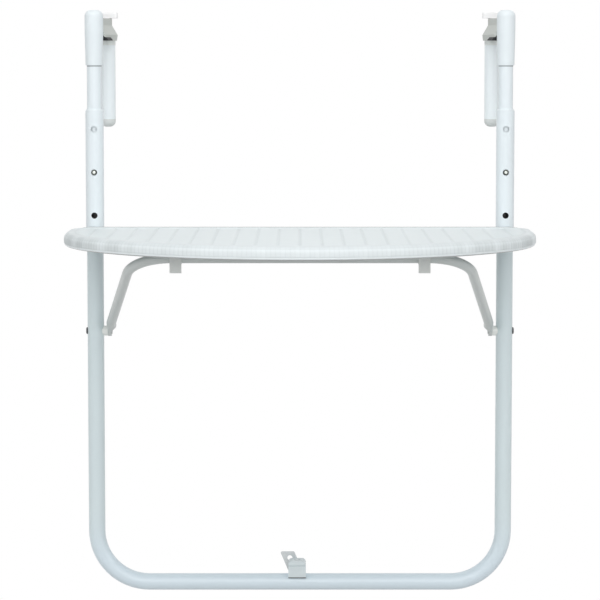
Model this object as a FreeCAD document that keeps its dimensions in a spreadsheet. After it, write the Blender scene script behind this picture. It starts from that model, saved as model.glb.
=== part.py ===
import FreeCAD, Part

import math
import os
import re

import Sketcher
from FreeCAD import Placement, Rotation, Vector

# A half-round balcony table that hangs from a railing. X runs along the railing, -Y points away from
# the railing towards the person at the table, and Z is up. The origin is midway between the two rail
# seats, on the top of the rail. Heights are given as drops below the rail seats.

SIZES = [
    ("seat_to_post", 40, "depth from the middle of a rail seat to the axis of a post"),
    ("top_overhang", 32.5, "from the axis of a leg to the side edge of the table top"),
    ("frame_tube", 22.6, "outer diameter of the bent frame tube"),
    ("tube_wall", 1, "wall of the steel tubes"),
    ("corner_bend", 72, "radius of the frame's lower corners, at the tube's axis"),
    ("frame_drop", 756, "to the lowest point of the frame"),
    ("frame_top_drop", 264, "to the upper ends of the frame tube"),
    ("post_tube", 24.8, "outer diameter of the posts"),
    ("post_top_drop", 95.5, "to the upper ends of the posts"),
    ("post_bottom_drop", 284, "to the lower ends of the posts"),
    ("button_drop", 179.1, "to the height buttons"),
    ("hole_pitch", 58.6, "between the height holes of a post"),
    ("height_hole", 8.4, "diameter of the height holes"),
    ("bush_flange", 2.2, "height of the guide bush's sloping collar"),
    ("bush_lip", 0.8, "wall of the guide bush at its collar's upper edge"),
    ("bush_depth", 24, "length of the guide bush inside the post"),
    ("mast_tube", 20, "outer diameter of the sliding masts"),
    ("mast_top", 2, "height of the mast's upper end above the rail seat"),
    ("mast_tail", 22, "from a height button to the lower end of its mast"),
    ("running_gap", 0.08, "radial clearance of what turns or slides in a bore"),
    ("seat_gap", 0.3, "clearance between seated pieces"),
    ("button", 7.2, "diameter of the height buttons"),
    ("flange", 1.2, "thickness of a height button's inner flange"),
    ("button_proud", 1.4, "how far a button's dome stands out of its post"),
    ("button_round", 2.2, "rounding of the height buttons' domes"),
    ("spring_strip", 0.8, "thickness of the button's leaf spring"),
    ("spring_width", 8, "width of the button's leaf spring"),
    ("spring_length", 28.5, "height of the button's leaf spring"),
    ("spring_rise", 10.5, "how far that spring stands above its button's middle"),
    ("spring_straight", 5, "how far its front leg runs straight below that middle"),
    ("top_drop", 254.3, "to the upper face of the table top"),
    ("top_width", 624, "width of the table top"),
    ("top_reach", 348, "from the post axis to the table top's front edge"),
    ("back_gap", 14, "from the post axis to the table top's back edge"),
    ("front_flatness", 25, "how much longer the front arc's radius is than half the width"),
    ("shoulder", 215, "radius of the arcs at the sides of the table top"),
    ("back_corner", 30, "radius of the table top's back corners"),
    ("rim_height", 17, "height of the table top's rim"),
    ("rim_round", 7, "radius along the rim's upper edge"),
    ("rim_foot_round", 2, "radius along the rim's lower edge"),
    ("rim_wall", 3, "wall of the rim"),
    ("rim_bead", 4.2, "height of the bead along the rim's foot"),
    ("rim_line", 1.2, "width of the groove above that bead"),
    ("rim_line_depth", 0.8, "depth of the groove above that bead"),
    ("skin", 3, "thickness of the table top's upper skin"),
    ("rib", 2.4, "thickness of the ribs"),
    ("rib_pitch", 52, "between neighbouring ribs"),
    ("seam_inset", 13, "from the edge to the groove round the woven field"),
    ("seam_width", 2.2, "width of the groove round the woven field"),
    ("seam_depth", 0.9, "depth of the groove round the woven field"),
    ("stake_pitch", 27.4, "between the grooves that part the woven field's columns"),
    ("stake_groove", 2.5, "width of those grooves"),
    ("stake_depth", 0.8, "depth of those grooves"),
    ("stake_stop", 2.5, "from the groove round the field to the ends of those grooves"),
    ("hinge_reach", 21, "from the post axis to the table top's hinge pins"),
    ("hinge_drop", 266.3, "to the hinge pins"),
    ("hinge_pin", 6, "diameter of the hinge pins"),
    ("hinge_pin_head", 7.4, "diameter of the hinge pins' heads"),
    ("tab", 4, "thickness of the hinge tabs on the posts"),
    ("tab_round", 6.5, "radius of a hinge tab's end"),
    ("ear", 5, "thickness of the table top's hinge ears"),
    ("ear_gap", 0.4, "between a hinge tab and the ears at its sides"),
    ("ear_reach", 9, "how far the ears run in front of the pins"),
    ("pivot_drop", 396.2, "to the brace's pivots"),
    ("brace_tube", 13, "diameter of the brace bar"),
    ("bar_reach", 222, "from the post axis to the brace's cross bar"),
    ("bar_spread", 427, "between the brace's corners, where its straight lines meet"),
    ("bar_bend", 62, "radius of the brace's corners, at the bar's axis"),
    ("knee", 28, "along the arm, from the pivot to where the arm turns inwards"),
    ("knee_bend", 40, "radius of that turn"),
    ("tongue", 4.5, "thickness of the bar's flattened ends"),
    ("tongue_width", 15, "width of the bar's flattened ends"),
    ("tongue_length", 10, "from the pivot to where the flattened end starts to swell"),
    ("tongue_round", 1.4, "radius along the flattened ends' long edges"),
    ("bar_start", 20, "from the pivot to where the bar is round"),
    ("bar_set_in", 3.6, "how much nearer the middle the round bar lies than its flattened ends"),
    ("bush_length", 5.8, "length of the spacer bushes at the pivots, at the tube's line"),
    ("spacer", 13.7, "outer diameter of the spacer bushes"),
    ("rivet", 6, "diameter of the pivot rivets"),
    ("rivet_head", 9.4, "diameter of the rivet heads"),
    ("rivet_dome", 1.6, "height of the outer rivet heads"),
    ("rivet_dome_round", 1.3, "rounding of the outer rivet heads"),
    ("rivet_tail", 0.9, "height of the inner rivet heads"),
    ("rivet_tail_round", 0.5, "rounding of the inner rivet heads"),
    ("clip_offset", 158, "from the middle of the table to each bar clip"),
    ("clip_width", 15, "width of a bar clip"),
    ("clip_plate", 4, "thickness of a bar clip's plate"),
    ("clip_back", 26, "length of a clip's plate behind the bar"),
    ("clip_front", 24, "length of a clip's plate in front of the bar"),
    ("clip_screw_set", 6.2, "from an end of a clip's plate to its screw"),
    ("clip_prong", 3, "thickness of a clip's prongs"),
    ("clip_tab_drop", 12, "how far a clip's finger tab hangs below the bar"),
    ("clip_mouth", 8.4, "width of a clip's mouth"),
    ("boss", 9, "diameter of the screw bosses"),
    ("screw", 3.8, "diameter of the screws"),
    ("screw_head", 7, "diameter of the screw heads"),
    ("screw_length", 11, "length of the screws"),
    ("block_side", -4, "sideways place of the bracket block"),
    ("block_width", 24, "width of the bracket block"),
    ("block_top", 42, "height of the bracket block above the frame's lowest point"),
    ("block_foot", 18.5, "height of the bracket block's lower edge above that point"),
    ("block_front", 12, "how far the block runs in front of the tube's axis"),
    ("block_back", 10, "how far the block runs behind the tube's axis"),
    ("block_round", 5, "radius of the block's upper corners"),
    ("block_line", 1.2, "width of the groove across the block's face"),
    ("block_line_height", 35.5, "height of that groove above the frame's lowest point"),
    ("screw_head_height", 3, "height of the block screw's head"),
    ("tie_rivet", 5, "diameter of the tie plate's rivet"),
    ("tie_rivet_depth", 5, "how deep the tie plate's rivet sits in the block"),
    ("plate", 2, "thickness of the tie plate"),
    ("plate_width", 18, "width of the tie plate"),
    ("plate_side", -8, "sideways place of the tie plate's rivet"),
    ("plate_pivot_height", 28, "height of the tie plate's rivet above the frame's lowest point"),
    ("plate_top", 51, "height of the tie plate's upper edge above that point"),
    ("plate_lean", 23, "lean of the tie plate from the upright, in degrees"),
    ("tie_hole", 7, "diameter of the tie plate's hole"),
    ("tie_hole_set", 15.4, "from the tie plate's rivet to its hole"),
    ("hook_yaw", 9, "turn of the hooks from straight back, in degrees"),
    ("cap", 25.2, "diameter of the hook cap near its top"),
    ("cap_foot", 23.2, "diameter of the hook cap's lower edge"),
    ("cap_top", 40.8, "height of the hook cap's top above the rail seat"),
    ("cap_drop", 34.2, "to the hook cap's lower edge"),
    ("cap_round", 8.5, "radius of the hook cap's top edge"),
    ("cap_taper_top", 13.6, "height above the rail seat where the hook cap's taper ends"),
    ("cap_bevel", 0.8, "bevel round the hook cap's lower edge"),
    ("arm_set", 78, "from the post axis to the rear arm's axis"),
    ("jaw_travel", 30, "how far the rear arm slides towards the post"),
    ("bridge_half", 13, "half width of the bridge at its lower edge"),
    ("bridge_shoulder", 14.1, "half width of the bridge at its widest"),
    ("bridge_shoulder_height", 7.7, "height of that line above the rail seat"),
    ("bridge_neck", 6.3, "half width of the bridge's ridge"),
    ("bridge_neck_height", 21, "height above the rail seat where the flanks meet the ridge"),
    ("bridge_top", 29.9, "height of the ridge above the rail seat"),
    ("pad_start", 15, "from the post axis to the front end of the rail pad"),
    ("pad_end", 42, "from the post axis to the rear end of the rail pad"),
    ("pad_height", 7.5, "thickness of the rail pad"),
    ("pad_half", 16, "half width of the rail pad's lower face"),
    ("pad_lip", 10, "half width of the rail pad's upper face"),
    ("pad_groove", 1.5, "width and depth of the grooves under the rail pad"),
    ("bridge_tongue", 9, "width of the bridge's tongue in the cap"),
    ("bridge_tongue_low", 8, "height of the tongue's lower face above the rail seat"),
    ("bridge_tongue_high", 24, "height of the tongue's upper face above the rail seat"),
    ("bridge_pin", 4, "diameter of the pin across cap and bridge"),
    ("bridge_pin_set", 6.3, "from the post axis to that pin"),
    ("arm_tube", 21.4, "outer diameter of the rear arms"),
    ("arm_drop", 108.6, "to the lower end of the rear arm's tube"),
    ("arm_collar", 6.3, "height of the collar on top of the rear arm"),
    ("arm_plug_depth", 26, "length of the plug inside the rear arm"),
    ("end_cap", 10.8, "height of the rear arm's end cap"),
    ("end_cap_round", 8.4, "radius of the end cap's lower edge"),
    ("end_cap_spigot", 8, "height of the end cap's part inside the arm"),
    ("clamp_screw", 6, "diameter of the clamp screws"),
    ("clamp_screw_drop", 27, "to the tips of the clamp screws"),
    ("knob_boss_height", 1, "height of the clamp knob's boss"),
    ("knob_height", 8.2, "height of the clamp knob's wings"),
    ("knob_length", 29, "length across the clamp knob's wings"),
    ("knob_width", 9, "thickness of the clamp knob's wings"),
    ("knob_round", 4, "radius at the ends of the clamp knob's wings"),
    ("knob_top_round", 2, "radius along the upper edge of those wings"),
]

doc = FreeCAD.newDocument("BalconyRailingTable")
sheet = doc.addObject("Spreadsheet::Sheet", "Sizes")
for row, (alias, value, meaning) in enumerate(SIZES, start=1):
    sheet.set(f"A{row}", meaning)
    sheet.set(f"B{row}", str(value))
    sheet.setAlias(f"B{row}", alias)
doc.recompute()

NAMES = {alias for alias, _, _ in SIZES}
NODES = {}
SIDES = (("left", -1), ("right", 1))

# Sizes that follow from the sheet, written once and used by more than one piece.
POST_Y = "(-seat_to_post)"
LEG_X = "(top_width / 2 - top_overhang)"
MAST_BORE = "(mast_tube / 2 + running_gap)"
POST_BORE = "(post_tube / 2 - tube_wall)"
TOP_UNDERSIDE = "(-top_drop - rim_height)"
SKIN_UNDERSIDE = "(-top_drop - skin)"
BAR_DROP = "(top_drop + rim_height + seat_gap + brace_tube / 2)"
BAR_RISE = f"(pivot_drop - {BAR_DROP})"
BAR_Y = "(-seat_to_post - bar_reach)"
ARM_LENGTH = f"hypot(bar_reach; {BAR_RISE})"
LEG_INNER = f"({LEG_X} - frame_tube / 2)"
TONGUE_MIDDLE = f"({LEG_INNER} - bush_length - tongue / 2)"
ARM_X = f"({TONGUE_MIDDLE} - bar_set_in)"
TUBE_AXIS_DROP = "(frame_drop - frame_tube / 2)"
FRONT_ARC = "(top_width / 2 + front_flatness)"
FRONT_ARC_Y = f"(-seat_to_post - top_reach + {FRONT_ARC})"
SHOULDER_X = "(top_width / 2 - shoulder)"
SHOULDER_Y = f"({FRONT_ARC_Y} - sqrt(({FRONT_ARC} - shoulder)^2 - {SHOULDER_X}^2))"
BUTTON_FLANGE = "(button / 2 + 1)"
BUTTON_SEAT = f"(sqrt((mast_tube / 2 - tube_wall)^2 - {BUTTON_FLANGE}^2) - seat_gap)"
RIVET_BORE = "(rivet / 2 + running_gap)"
PIN_BORE = "(bridge_pin / 2 + running_gap)"
KNOB_SCREW_TOP = "(bridge_top + knob_boss_height + knob_height / 2)"
BLOCK_BACK = "(seat_to_post - block_back)"
# A square with corners of this share of its side is as good as round, and keeps a straight on each side.
NEARLY_HALF = 0.49


def rule(text):
    """The text with each size's name pointed at its cell in the sheet."""
    return re.sub(r"[A-Za-z_]\w*", lambda m: "Sizes." + m[0] if m[0] in NAMES else m[0], str(text))


def number(text):
    """The value of a text of sizes, in millimetres or degrees."""
    found = sheet.evalExpression(str(text))
    return float(getattr(found, "Value", found))


def bind(thing, field, text):
    thing.setExpression(field, rule(text))


def place(thing, x="0", y="0", z="0"):
    bind(thing, ".Placement.Base.x", x)
    bind(thing, ".Placement.Base.y", y)
    bind(thing, ".Placement.Base.z", z)


def node(name, thing):
    """The object whose shape is one piece, under the name of that piece."""
    thing.Label = name
    NODES[name] = thing
    return thing


def new_body(name):
    return doc.addObject("PartDesign::Body", name + "_body")


def new_sketch(body, plane, offset=None):
    """A sketch on one of the body's own planes, moved along its normal by the offset."""
    sketch = body.newObject("Sketcher::SketchObject", "Sketch")
    base = next(f for f in body.Origin.OriginFeatures if f.Role == plane)
    sketch.AttachmentSupport = [(base, "")]
    sketch.MapMode = "FlatFace"
    if offset is not None:
        bind(sketch, ".AttachmentOffset.Base.z", offset)
    return sketch


def constrain(sketch, *terms):
    return sketch.addConstraint(Sketcher.Constraint(*terms))


def driven(sketch, text, *terms):
    """A dimension of the sketch that follows the sheet."""
    index = constrain(sketch, *terms, number(text))
    bind(sketch, f"Constraints[{index}]", text)


def pin_point(sketch, item, end, x, y):
    """Holds a point of the sketch at the place (x, y)."""
    if x == "0":
        constrain(sketch, "PointOnObject", item, end, -2)
    else:
        driven(sketch, x, "DistanceX", -1, 1, item, end)
    if y == "0":
        constrain(sketch, "PointOnObject", item, end, -1)
    else:
        driven(sketch, y, "DistanceY", -1, 1, item, end)


def circle(sketch, x, y, radius):
    centre = Vector(number(x), number(y), 0)
    item = sketch.addGeometry(Part.Circle(centre, Vector(0, 0, 1), number(radius)), False)
    driven(sketch, radius, "Radius", item)
    pin_point(sketch, item, 3, x, y)


def outline(sketch, corners, closed=True):
    """Straight runs through the corners (x, y) or (x, y, radius), with an arc in each rounded corner."""
    count = len(corners)
    spots = [Vector(number(c[0]), number(c[1]), 0) for c in corners]
    entry, leave, bends = list(spots), list(spots), {}
    for i, corner in enumerate(corners):
        if len(corner) < 3:
            continue
        before, after = spots[i - 1] - spots[i], spots[(i + 1) % count] - spots[i]
        half = before.getAngle(after) / 2
        radius = number(corner[2])
        reach = radius / math.tan(half)
        entry[i] = spots[i] + before.normalize() * reach
        leave[i] = spots[i] + after.normalize() * reach
        centre = spots[i] + (before + after).normalize() * (radius / math.sin(half))
        bends[i] = (centre, radius)
    runs = []
    for i in range(count if closed else count - 1):
        runs.append(sketch.addGeometry(Part.LineSegment(leave[i], entry[(i + 1) % count]), False))
    for i, corner in enumerate(corners):
        at_end = not closed and i in (0, count - 1)
        if at_end:
            pin_point(sketch, runs[0 if i == 0 else -1], 1 if i == 0 else 2, corner[0], corner[1])
        elif i not in bends:
            constrain(sketch, "Coincident", runs[i - 1], 2, runs[i], 1)
            pin_point(sketch, runs[i], 1, corner[0], corner[1])
        else:
            centre, radius = bends[i]
            first, last = entry[i] - centre, leave[i] - centre
            left_turn = first.cross(last).z > 0
            start, stop = (first, last) if left_turn else (last, first)
            ring = Part.Circle(centre, Vector(0, 0, 1), radius)
            angles = [math.atan2(v.y, v.x) for v in (start, stop)]
            arc = sketch.addGeometry(Part.ArcOfCircle(ring, *angles), False)
            constrain(sketch, "Tangent", runs[i - 1], 2, arc, 1 if left_turn else 2)
            constrain(sketch, "Tangent", arc, 2 if left_turn else 1, runs[i], 1)
            driven(sketch, corner[2], "Radius", arc)
            mark = sketch.addGeometry(Part.Point(spots[i]), True)
            pin_point(sketch, mark, 1, corner[0], corner[1])
            constrain(sketch, "PointOnObject", mark, 1, runs[i - 1])
            constrain(sketch, "PointOnObject", mark, 1, runs[i])


def box_outline(sketch, x1, y1, x2, y2):
    outline(sketch, [(x1, y1), (x2, y1), (x2, y2), (x1, y2)])


def extrude(body, kind, sketch, length, middle=False, back=False):
    """A Pad or a Pocket of the sketch. A Pocket that takes nothing away is an error."""
    before = body.Shape.Volume if kind == "Pocket" else 0
    feature = body.newObject("PartDesign::" + kind, kind)
    feature.Profile = sketch
    bind(feature, "Length", length)
    feature.Midplane = middle
    feature.Reversed = back
    doc.recompute()
    if kind == "Pocket" and not body.Shape.Volume < before - 1e-6:
        raise RuntimeError(f"a pocket of {body.Name} cuts nothing")
    return feature


def pad(body, sketch, length, **way):
    return extrude(body, "Pad", sketch, length, **way)


def pocket(body, sketch, length, **way):
    return extrude(body, "Pocket", sketch, length, **way)


def revolve(body, sketch, axis="V_Axis", kind="Revolution"):
    before = body.Shape.Volume if kind == "Groove" else 0
    feature = body.newObject("PartDesign::" + kind, kind)
    feature.Profile = sketch
    feature.ReferenceAxis = (sketch, [axis])
    feature.Angle = 360
    doc.recompute()
    if kind == "Groove" and not body.Shape.Volume < before - 1e-6:
        raise RuntimeError(f"a groove of {body.Name} cuts nothing")
    return feature


def round_edges(body, keep, radius, kind="Fillet"):
    """Rounds or chamfers the edges of the body's last shape that the test keep accepts."""
    base = body.Tip
    edges = [f"Edge{i}" for i, e in enumerate(base.Shape.Edges, start=1) if keep(e)]
    if not edges:
        raise RuntimeError(f"no edge to round on {body.Name}")
    feature = body.newObject("PartDesign::" + kind, kind)
    feature.Base = (base, edges)
    bind(feature, "Radius" if kind == "Fillet" else "Size", radius)
    doc.recompute()
    return feature


def turned(name, profile, x="0", y="0", z="0", axis="V_Axis"):
    """A turned piece: a closed profile of (radius, height) corners, spun about its axis."""
    body = new_body(name)
    sketch = new_sketch(body, "XZ_Plane")
    outline(sketch, profile)
    revolve(body, sketch, axis)
    place(body, x, y, z)
    return body


def part_box(x1, y1, z1, x2, y2, z2):
    box = doc.addObject("Part::Box", "Box")
    place(box, x1, y1, z1)
    bind(box, "Length", f"({x2}) - ({x1})")
    bind(box, "Width", f"({y2}) - ({y1})")
    bind(box, "Height", f"({z2}) - ({z1})")
    return box


def part_cylinder(x, y, z, radius, height, direction=Vector(0, 0, 1)):
    """A cylinder from the point (x, y, z) along the direction."""
    rod = doc.addObject("Part::Cylinder", "Cylinder")
    rod.Placement = Placement(Vector(), Rotation(Vector(0, 0, 1), direction))
    place(rod, x, y, z)
    bind(rod, "Radius", radius)
    bind(rod, "Height", height)
    return rod


def cut(base, *tools):
    """The base without the tools."""
    tool = tools[0] if len(tools) == 1 else fuse(*tools)
    made = doc.addObject("Part::Cut", "Cut")
    made.Base = base
    made.Tool = tool
    made.Refine = True
    doc.recompute()
    return made


def fuse(*pieces):
    made = doc.addObject("Part::MultiFuse", "Fusion")
    made.Shapes = list(pieces)
    made.Refine = True
    doc.recompute()
    return made


def group(pieces):
    """Separate like solids kept in one piece of the parts list."""
    made = doc.addObject("Part::Compound", "Group")
    made.Links = list(pieces)
    doc.recompute()
    return made


def signed(sign, text):
    return f"{sign} * ({text})"


def hook_place(thing, sign, set_back="0", z="0"):
    """Places a piece of a hook: set back from its post's axis, in the hook's turned direction."""
    thing.Placement = Placement(Vector(), Rotation(Vector(0, 0, sign), number("hook_yaw")))
    place(
        thing,
        f"{sign} * ({LEG_X} - ({set_back}) * sin(hook_yaw))",
        f"{POST_Y} + ({set_back}) * cos(hook_yaw)",
        z,
    )
    bind(thing, ".Placement.Rotation.Angle", "hook_yaw * 1 deg")


def u_frame():
    """The bent steel tube: two legs and the bottom bar, open at the top, drilled for the brace pivots."""
    body = new_body("u_frame")
    leg, bottom = LEG_X, f"-{TUBE_AXIS_DROP}"
    path = new_sketch(body, "XZ_Plane", "seat_to_post")
    outline(
        path,
        [
            (f"-{leg}", "-frame_top_drop"),
            (f"-{leg}", bottom, "corner_bend"),
            (leg, bottom, "corner_bend"),
            (leg, "-frame_top_drop"),
        ],
        closed=False,
    )
    section = new_sketch(body, "XY_Plane", "-frame_top_drop")
    circle(section, f"-{leg}", POST_Y, "frame_tube / 2")
    circle(section, f"-{leg}", POST_Y, "frame_tube / 2 - tube_wall")
    pipe = body.newObject("PartDesign::AdditivePipe", "Pipe")
    pipe.Profile = section
    pipe.Spine = path
    doc.recompute()
    hole = new_sketch(body, "YZ_Plane")
    circle(hole, POST_Y, "-pivot_drop", RIVET_BORE)
    pocket(body, hole, f"2 * ({LEG_X} + frame_tube)", middle=True)
    screw_hole = new_sketch(body, "XY_Plane", f"-{TUBE_AXIS_DROP}")
    circle(screw_hole, "block_side", POST_Y, "screw / 2 + running_gap")
    pocket(body, screw_hole, "frame_tube", back=True)
    return node("u_frame", body)


def post_tube(side, sign):
    """The upper post: a wider tube sleeved over the leg, with three height holes in its front wall."""
    body = new_body("post_tube")
    section = new_sketch(body, "XY_Plane", "-post_bottom_drop")
    circle(section, "0", "0", "post_tube / 2")
    circle(section, "0", "0", POST_BORE)
    pad(body, section, "post_bottom_drop - post_top_drop")
    round_edges(body, lambda e: e.BoundBox.ZMin > -number("post_top_drop") - 0.01
                and e.BoundBox.XLength > number("post_tube") - 0.1, "tube_wall / 2", kind="Chamfer")
    holes = new_sketch(body, "XZ_Plane")
    for step in (-1, 0, 1):
        circle(holes, "0", f"-button_drop + {step} * hole_pitch", "height_hole / 2")
    pocket(body, holes, "post_tube", back=True)
    place(body, signed(sign, LEG_X), POST_Y)
    return node(f"post_tube_{side}", body)


def guide_bush(side, sign):
    """The plastic bush that the mast slides in, with a sloping collar on the post's upper end."""
    body = turned(
        "guide_bush",
        [
            (MAST_BORE, "-bush_depth"),
            (f"{POST_BORE} - running_gap", "-bush_depth"),
            (f"{POST_BORE} - running_gap", "0"),
            ("post_tube / 2 - tube_wall / 2", "0"),
            (f"{MAST_BORE} + bush_lip", "bush_flange"),
            (MAST_BORE, "bush_flange"),
        ],
    )
    place(body, signed(sign, LEG_X), POST_Y, "-post_top_drop")
    return node(f"guide_bush_{side}", body)


def hinge_tab(side, sign):
    """The steel tab welded to the front of the post, which carries the table top's hinge pin."""
    body = new_body("hinge_tab")
    sketch = new_sketch(body, "YZ_Plane")
    outline(
        sketch,
        [
            ("0", "-tab_round"),
            ("-hinge_reach", "-tab_round"),
            ("-hinge_reach", "tab_round"),
            ("0", "tab_round"),
        ],
    )
    pad(body, sketch, "tab", middle=True)
    nose = new_sketch(body, "YZ_Plane")
    circle(nose, "-hinge_reach", "0", "tab_round")
    pad(body, nose, "tab", middle=True)
    bore = new_sketch(body, "YZ_Plane")
    circle(bore, "-hinge_reach", "0", "hinge_pin / 2 + running_gap")
    pocket(body, bore, "2 * tab", middle=True)
    seat = new_sketch(body, "XY_Plane")
    circle(seat, "0", "0", "post_tube / 2 + running_gap")
    pocket(body, seat, "4 * tab_round", middle=True)
    place(body, signed(sign, LEG_X), POST_Y, "-hinge_drop")
    return node(f"hinge_tab_{side}", body)


def hinge_pin(side, sign):
    """The headed pin through the table top's two ears and the post's tab."""
    reach = "tab / 2 + ear_gap + ear"
    body = turned(
        "hinge_pin",
        [
            ("0", f"-({reach})"),
            ("hinge_pin / 2", f"-({reach})"),
            ("hinge_pin / 2", f"{reach} + seat_gap"),
            ("hinge_pin_head / 2", f"{reach} + seat_gap"),
            ("hinge_pin_head / 2", f"{reach} + seat_gap + hinge_pin / 4"),
            ("0", f"{reach} + seat_gap + hinge_pin / 4"),
        ],
    )
    body.Placement = Placement(Vector(), Rotation(Vector(0, 1, 0), -sign * 90))
    place(body, signed(sign, LEG_X), f"{POST_Y} - hinge_reach", "-hinge_drop")
    return node(f"hinge_pin_{side}", body)


def top_outline(sketch, inset):
    """The table top's plan, a straight back and a front of three arcs, moved inwards by the inset."""
    half = f"(top_width / 2 - ({inset}))"
    back = f"({POST_Y} - back_gap - ({inset}))"
    big = f"({FRONT_ARC} - ({inset}))"
    side_arc = f"(shoulder - ({inset}))"
    centre = Vector(0, number(FRONT_ARC_Y), 0)
    off_x, shoulder_y = number(SHOULDER_X), number(SHOULDER_Y)
    off_y = centre.y - shoulder_y
    corner_text = f"min(back_corner - ({inset}); 0.9 * ({back} - {SHOULDER_Y}))"
    corner = number(corner_text)
    up = Vector(0, 0, 1)
    right, low = number(half), number(back)
    touch = math.atan2(-off_y, off_x)

    def arc(middle, radius, start, stop):
        return sketch.addGeometry(Part.ArcOfCircle(Part.Circle(middle, up, radius), start, stop), False)

    def line(x1, y1, x2, y2):
        return sketch.addGeometry(Part.LineSegment(Vector(x1, y1, 0), Vector(x2, y2, 0)), False)

    back_line = line(right - corner, low, corner - right, low)
    left_corner = arc(Vector(corner - right, low - corner, 0), corner, math.pi / 2, math.pi)
    left_side = line(-right, low - corner, -right, shoulder_y)
    left_arc = arc(Vector(-off_x, shoulder_y, 0), number(side_arc), math.pi, math.pi - touch)
    front = arc(centre, number(big), -math.pi - touch, touch)
    right_arc = arc(Vector(off_x, shoulder_y, 0), number(side_arc), touch, 0)
    right_side = line(right, shoulder_y, right, low - corner)
    right_corner = arc(Vector(right - corner, low - corner, 0), corner, 0, math.pi / 2)
    chain = [
        (back_line, 2, left_corner, 1),
        (left_corner, 2, left_side, 1),
        (left_side, 2, left_arc, 1),
        (left_arc, 2, front, 1),
        (front, 2, right_arc, 1),
        (right_arc, 2, right_side, 1),
        (right_side, 2, right_corner, 1),
        (right_corner, 2, back_line, 1),
    ]
    for first, end, second, start in chain:
        constrain(sketch, "Tangent", first, end, second, start)
    constrain(sketch, "Horizontal", back_line)
    driven(sketch, back, "DistanceY", -1, 1, back_line, 1)
    for side_line, text in ((left_side, f"-{half}"), (right_side, half)):
        constrain(sketch, "Vertical", side_line)
        driven(sketch, text, "DistanceX", -1, 1, side_line, 1)
    for item, text in ((left_corner, corner_text), (right_corner, corner_text),
                       (left_arc, side_arc), (right_arc, side_arc), (front, big)):
        driven(sketch, text, "Radius", item)
    pin_point(sketch, front, 3, "0", FRONT_ARC_Y)


def top_blank():
    """The table top's outer form: a rounded rim with a bead at its foot, and the woven field's grooves."""
    body = new_body("top_blank")
    plan = new_sketch(body, "XY_Plane", "-top_drop")
    top_outline(plan, "0")
    pad(body, plan, "rim_height", back=True)
    round_edges(body, lambda e: e.BoundBox.ZMin > -number("top_drop") - 0.01, "rim_round")
    round_edges(body, lambda e: e.BoundBox.ZMax < number(TOP_UNDERSIDE) + 0.01, "rim_foot_round")
    seam = new_sketch(body, "XY_Plane", "-top_drop")
    top_outline(seam, "seam_inset")
    top_outline(seam, "seam_inset + seam_width")
    pocket(body, seam, "seam_depth")
    line = new_sketch(body, "XY_Plane", f"{TOP_UNDERSIDE} + rim_bead + rim_line")
    top_outline(line, "-rim_wall")
    top_outline(line, "rim_line_depth")
    pocket(body, line, "rim_line")
    return cut(body, stake_grooves())


def stake_grooves():
    """The shallow grooves between the columns of the woven field. They end short of the groove round it."""
    body = new_body("field")
    plan = new_sketch(body, "XY_Plane", "-top_drop + stake_depth")
    field_inset = "seam_inset + seam_width + stake_stop"
    top_outline(plan, field_inset)
    pad(body, plan, "2 * stake_depth", back=True)
    strips = []
    each_side = int(number(f"(top_width / 2 - ({field_inset})) / stake_pitch"))
    for step in range(-each_side, each_side + 1):
        x = f"{step} * stake_pitch"
        strips.append(
            part_box(f"{x} - stake_groove / 2", f"{POST_Y} - top_reach", "-top_drop - 2 * stake_depth",
                     f"{x} + stake_groove / 2", POST_Y, "-top_drop + 2 * stake_depth")
        )
    grooves = doc.addObject("Part::Common", "Grooves")
    grooves.Base = body
    grooves.Tool = fuse(*strips)
    doc.recompute()
    return grooves


def top_cavity():
    body = new_body("top_cavity")
    plan = new_sketch(body, "XY_Plane", TOP_UNDERSIDE)
    top_outline(plan, "rim_wall")
    pad(body, plan, "rim_height - skin")
    return body


def rib_grid():
    """Crossed upright ribs over the whole top, one pitch apart."""
    ribs = []
    low, high = f"{TOP_UNDERSIDE} - skin", "-top_drop"
    front, back = f"{POST_Y} - top_reach - rim_wall", POST_Y
    each_side = int(number("(top_width / 2 - rim_wall) / rib_pitch"))
    for step in range(-each_side, each_side + 1):
        x = f"{step} * rib_pitch"
        ribs.append(part_box(f"{x} - rib / 2", front, low, f"{x} + rib / 2", back, high))
    for step in range(1, int(number("(top_reach - back_gap - rim_wall) / rib_pitch")) + 1):
        y = f"{POST_Y} - back_gap - {step} * rib_pitch"
        ribs.append(
            part_box("-top_width / 2", f"{y} - rib / 2", low, "top_width / 2", f"{y} + rib / 2", high)
        )
    return fuse(*ribs)


def clip_screw_places():
    """The middle of each clip screw, seen from above."""
    places = []
    for _, sign in SIDES:
        x = signed(sign, "clip_offset")
        places.append((x, f"{BAR_Y} + clip_back - clip_screw_set"))
        places.append((x, f"{BAR_Y} - clip_front + clip_screw_set"))
    return places


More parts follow.
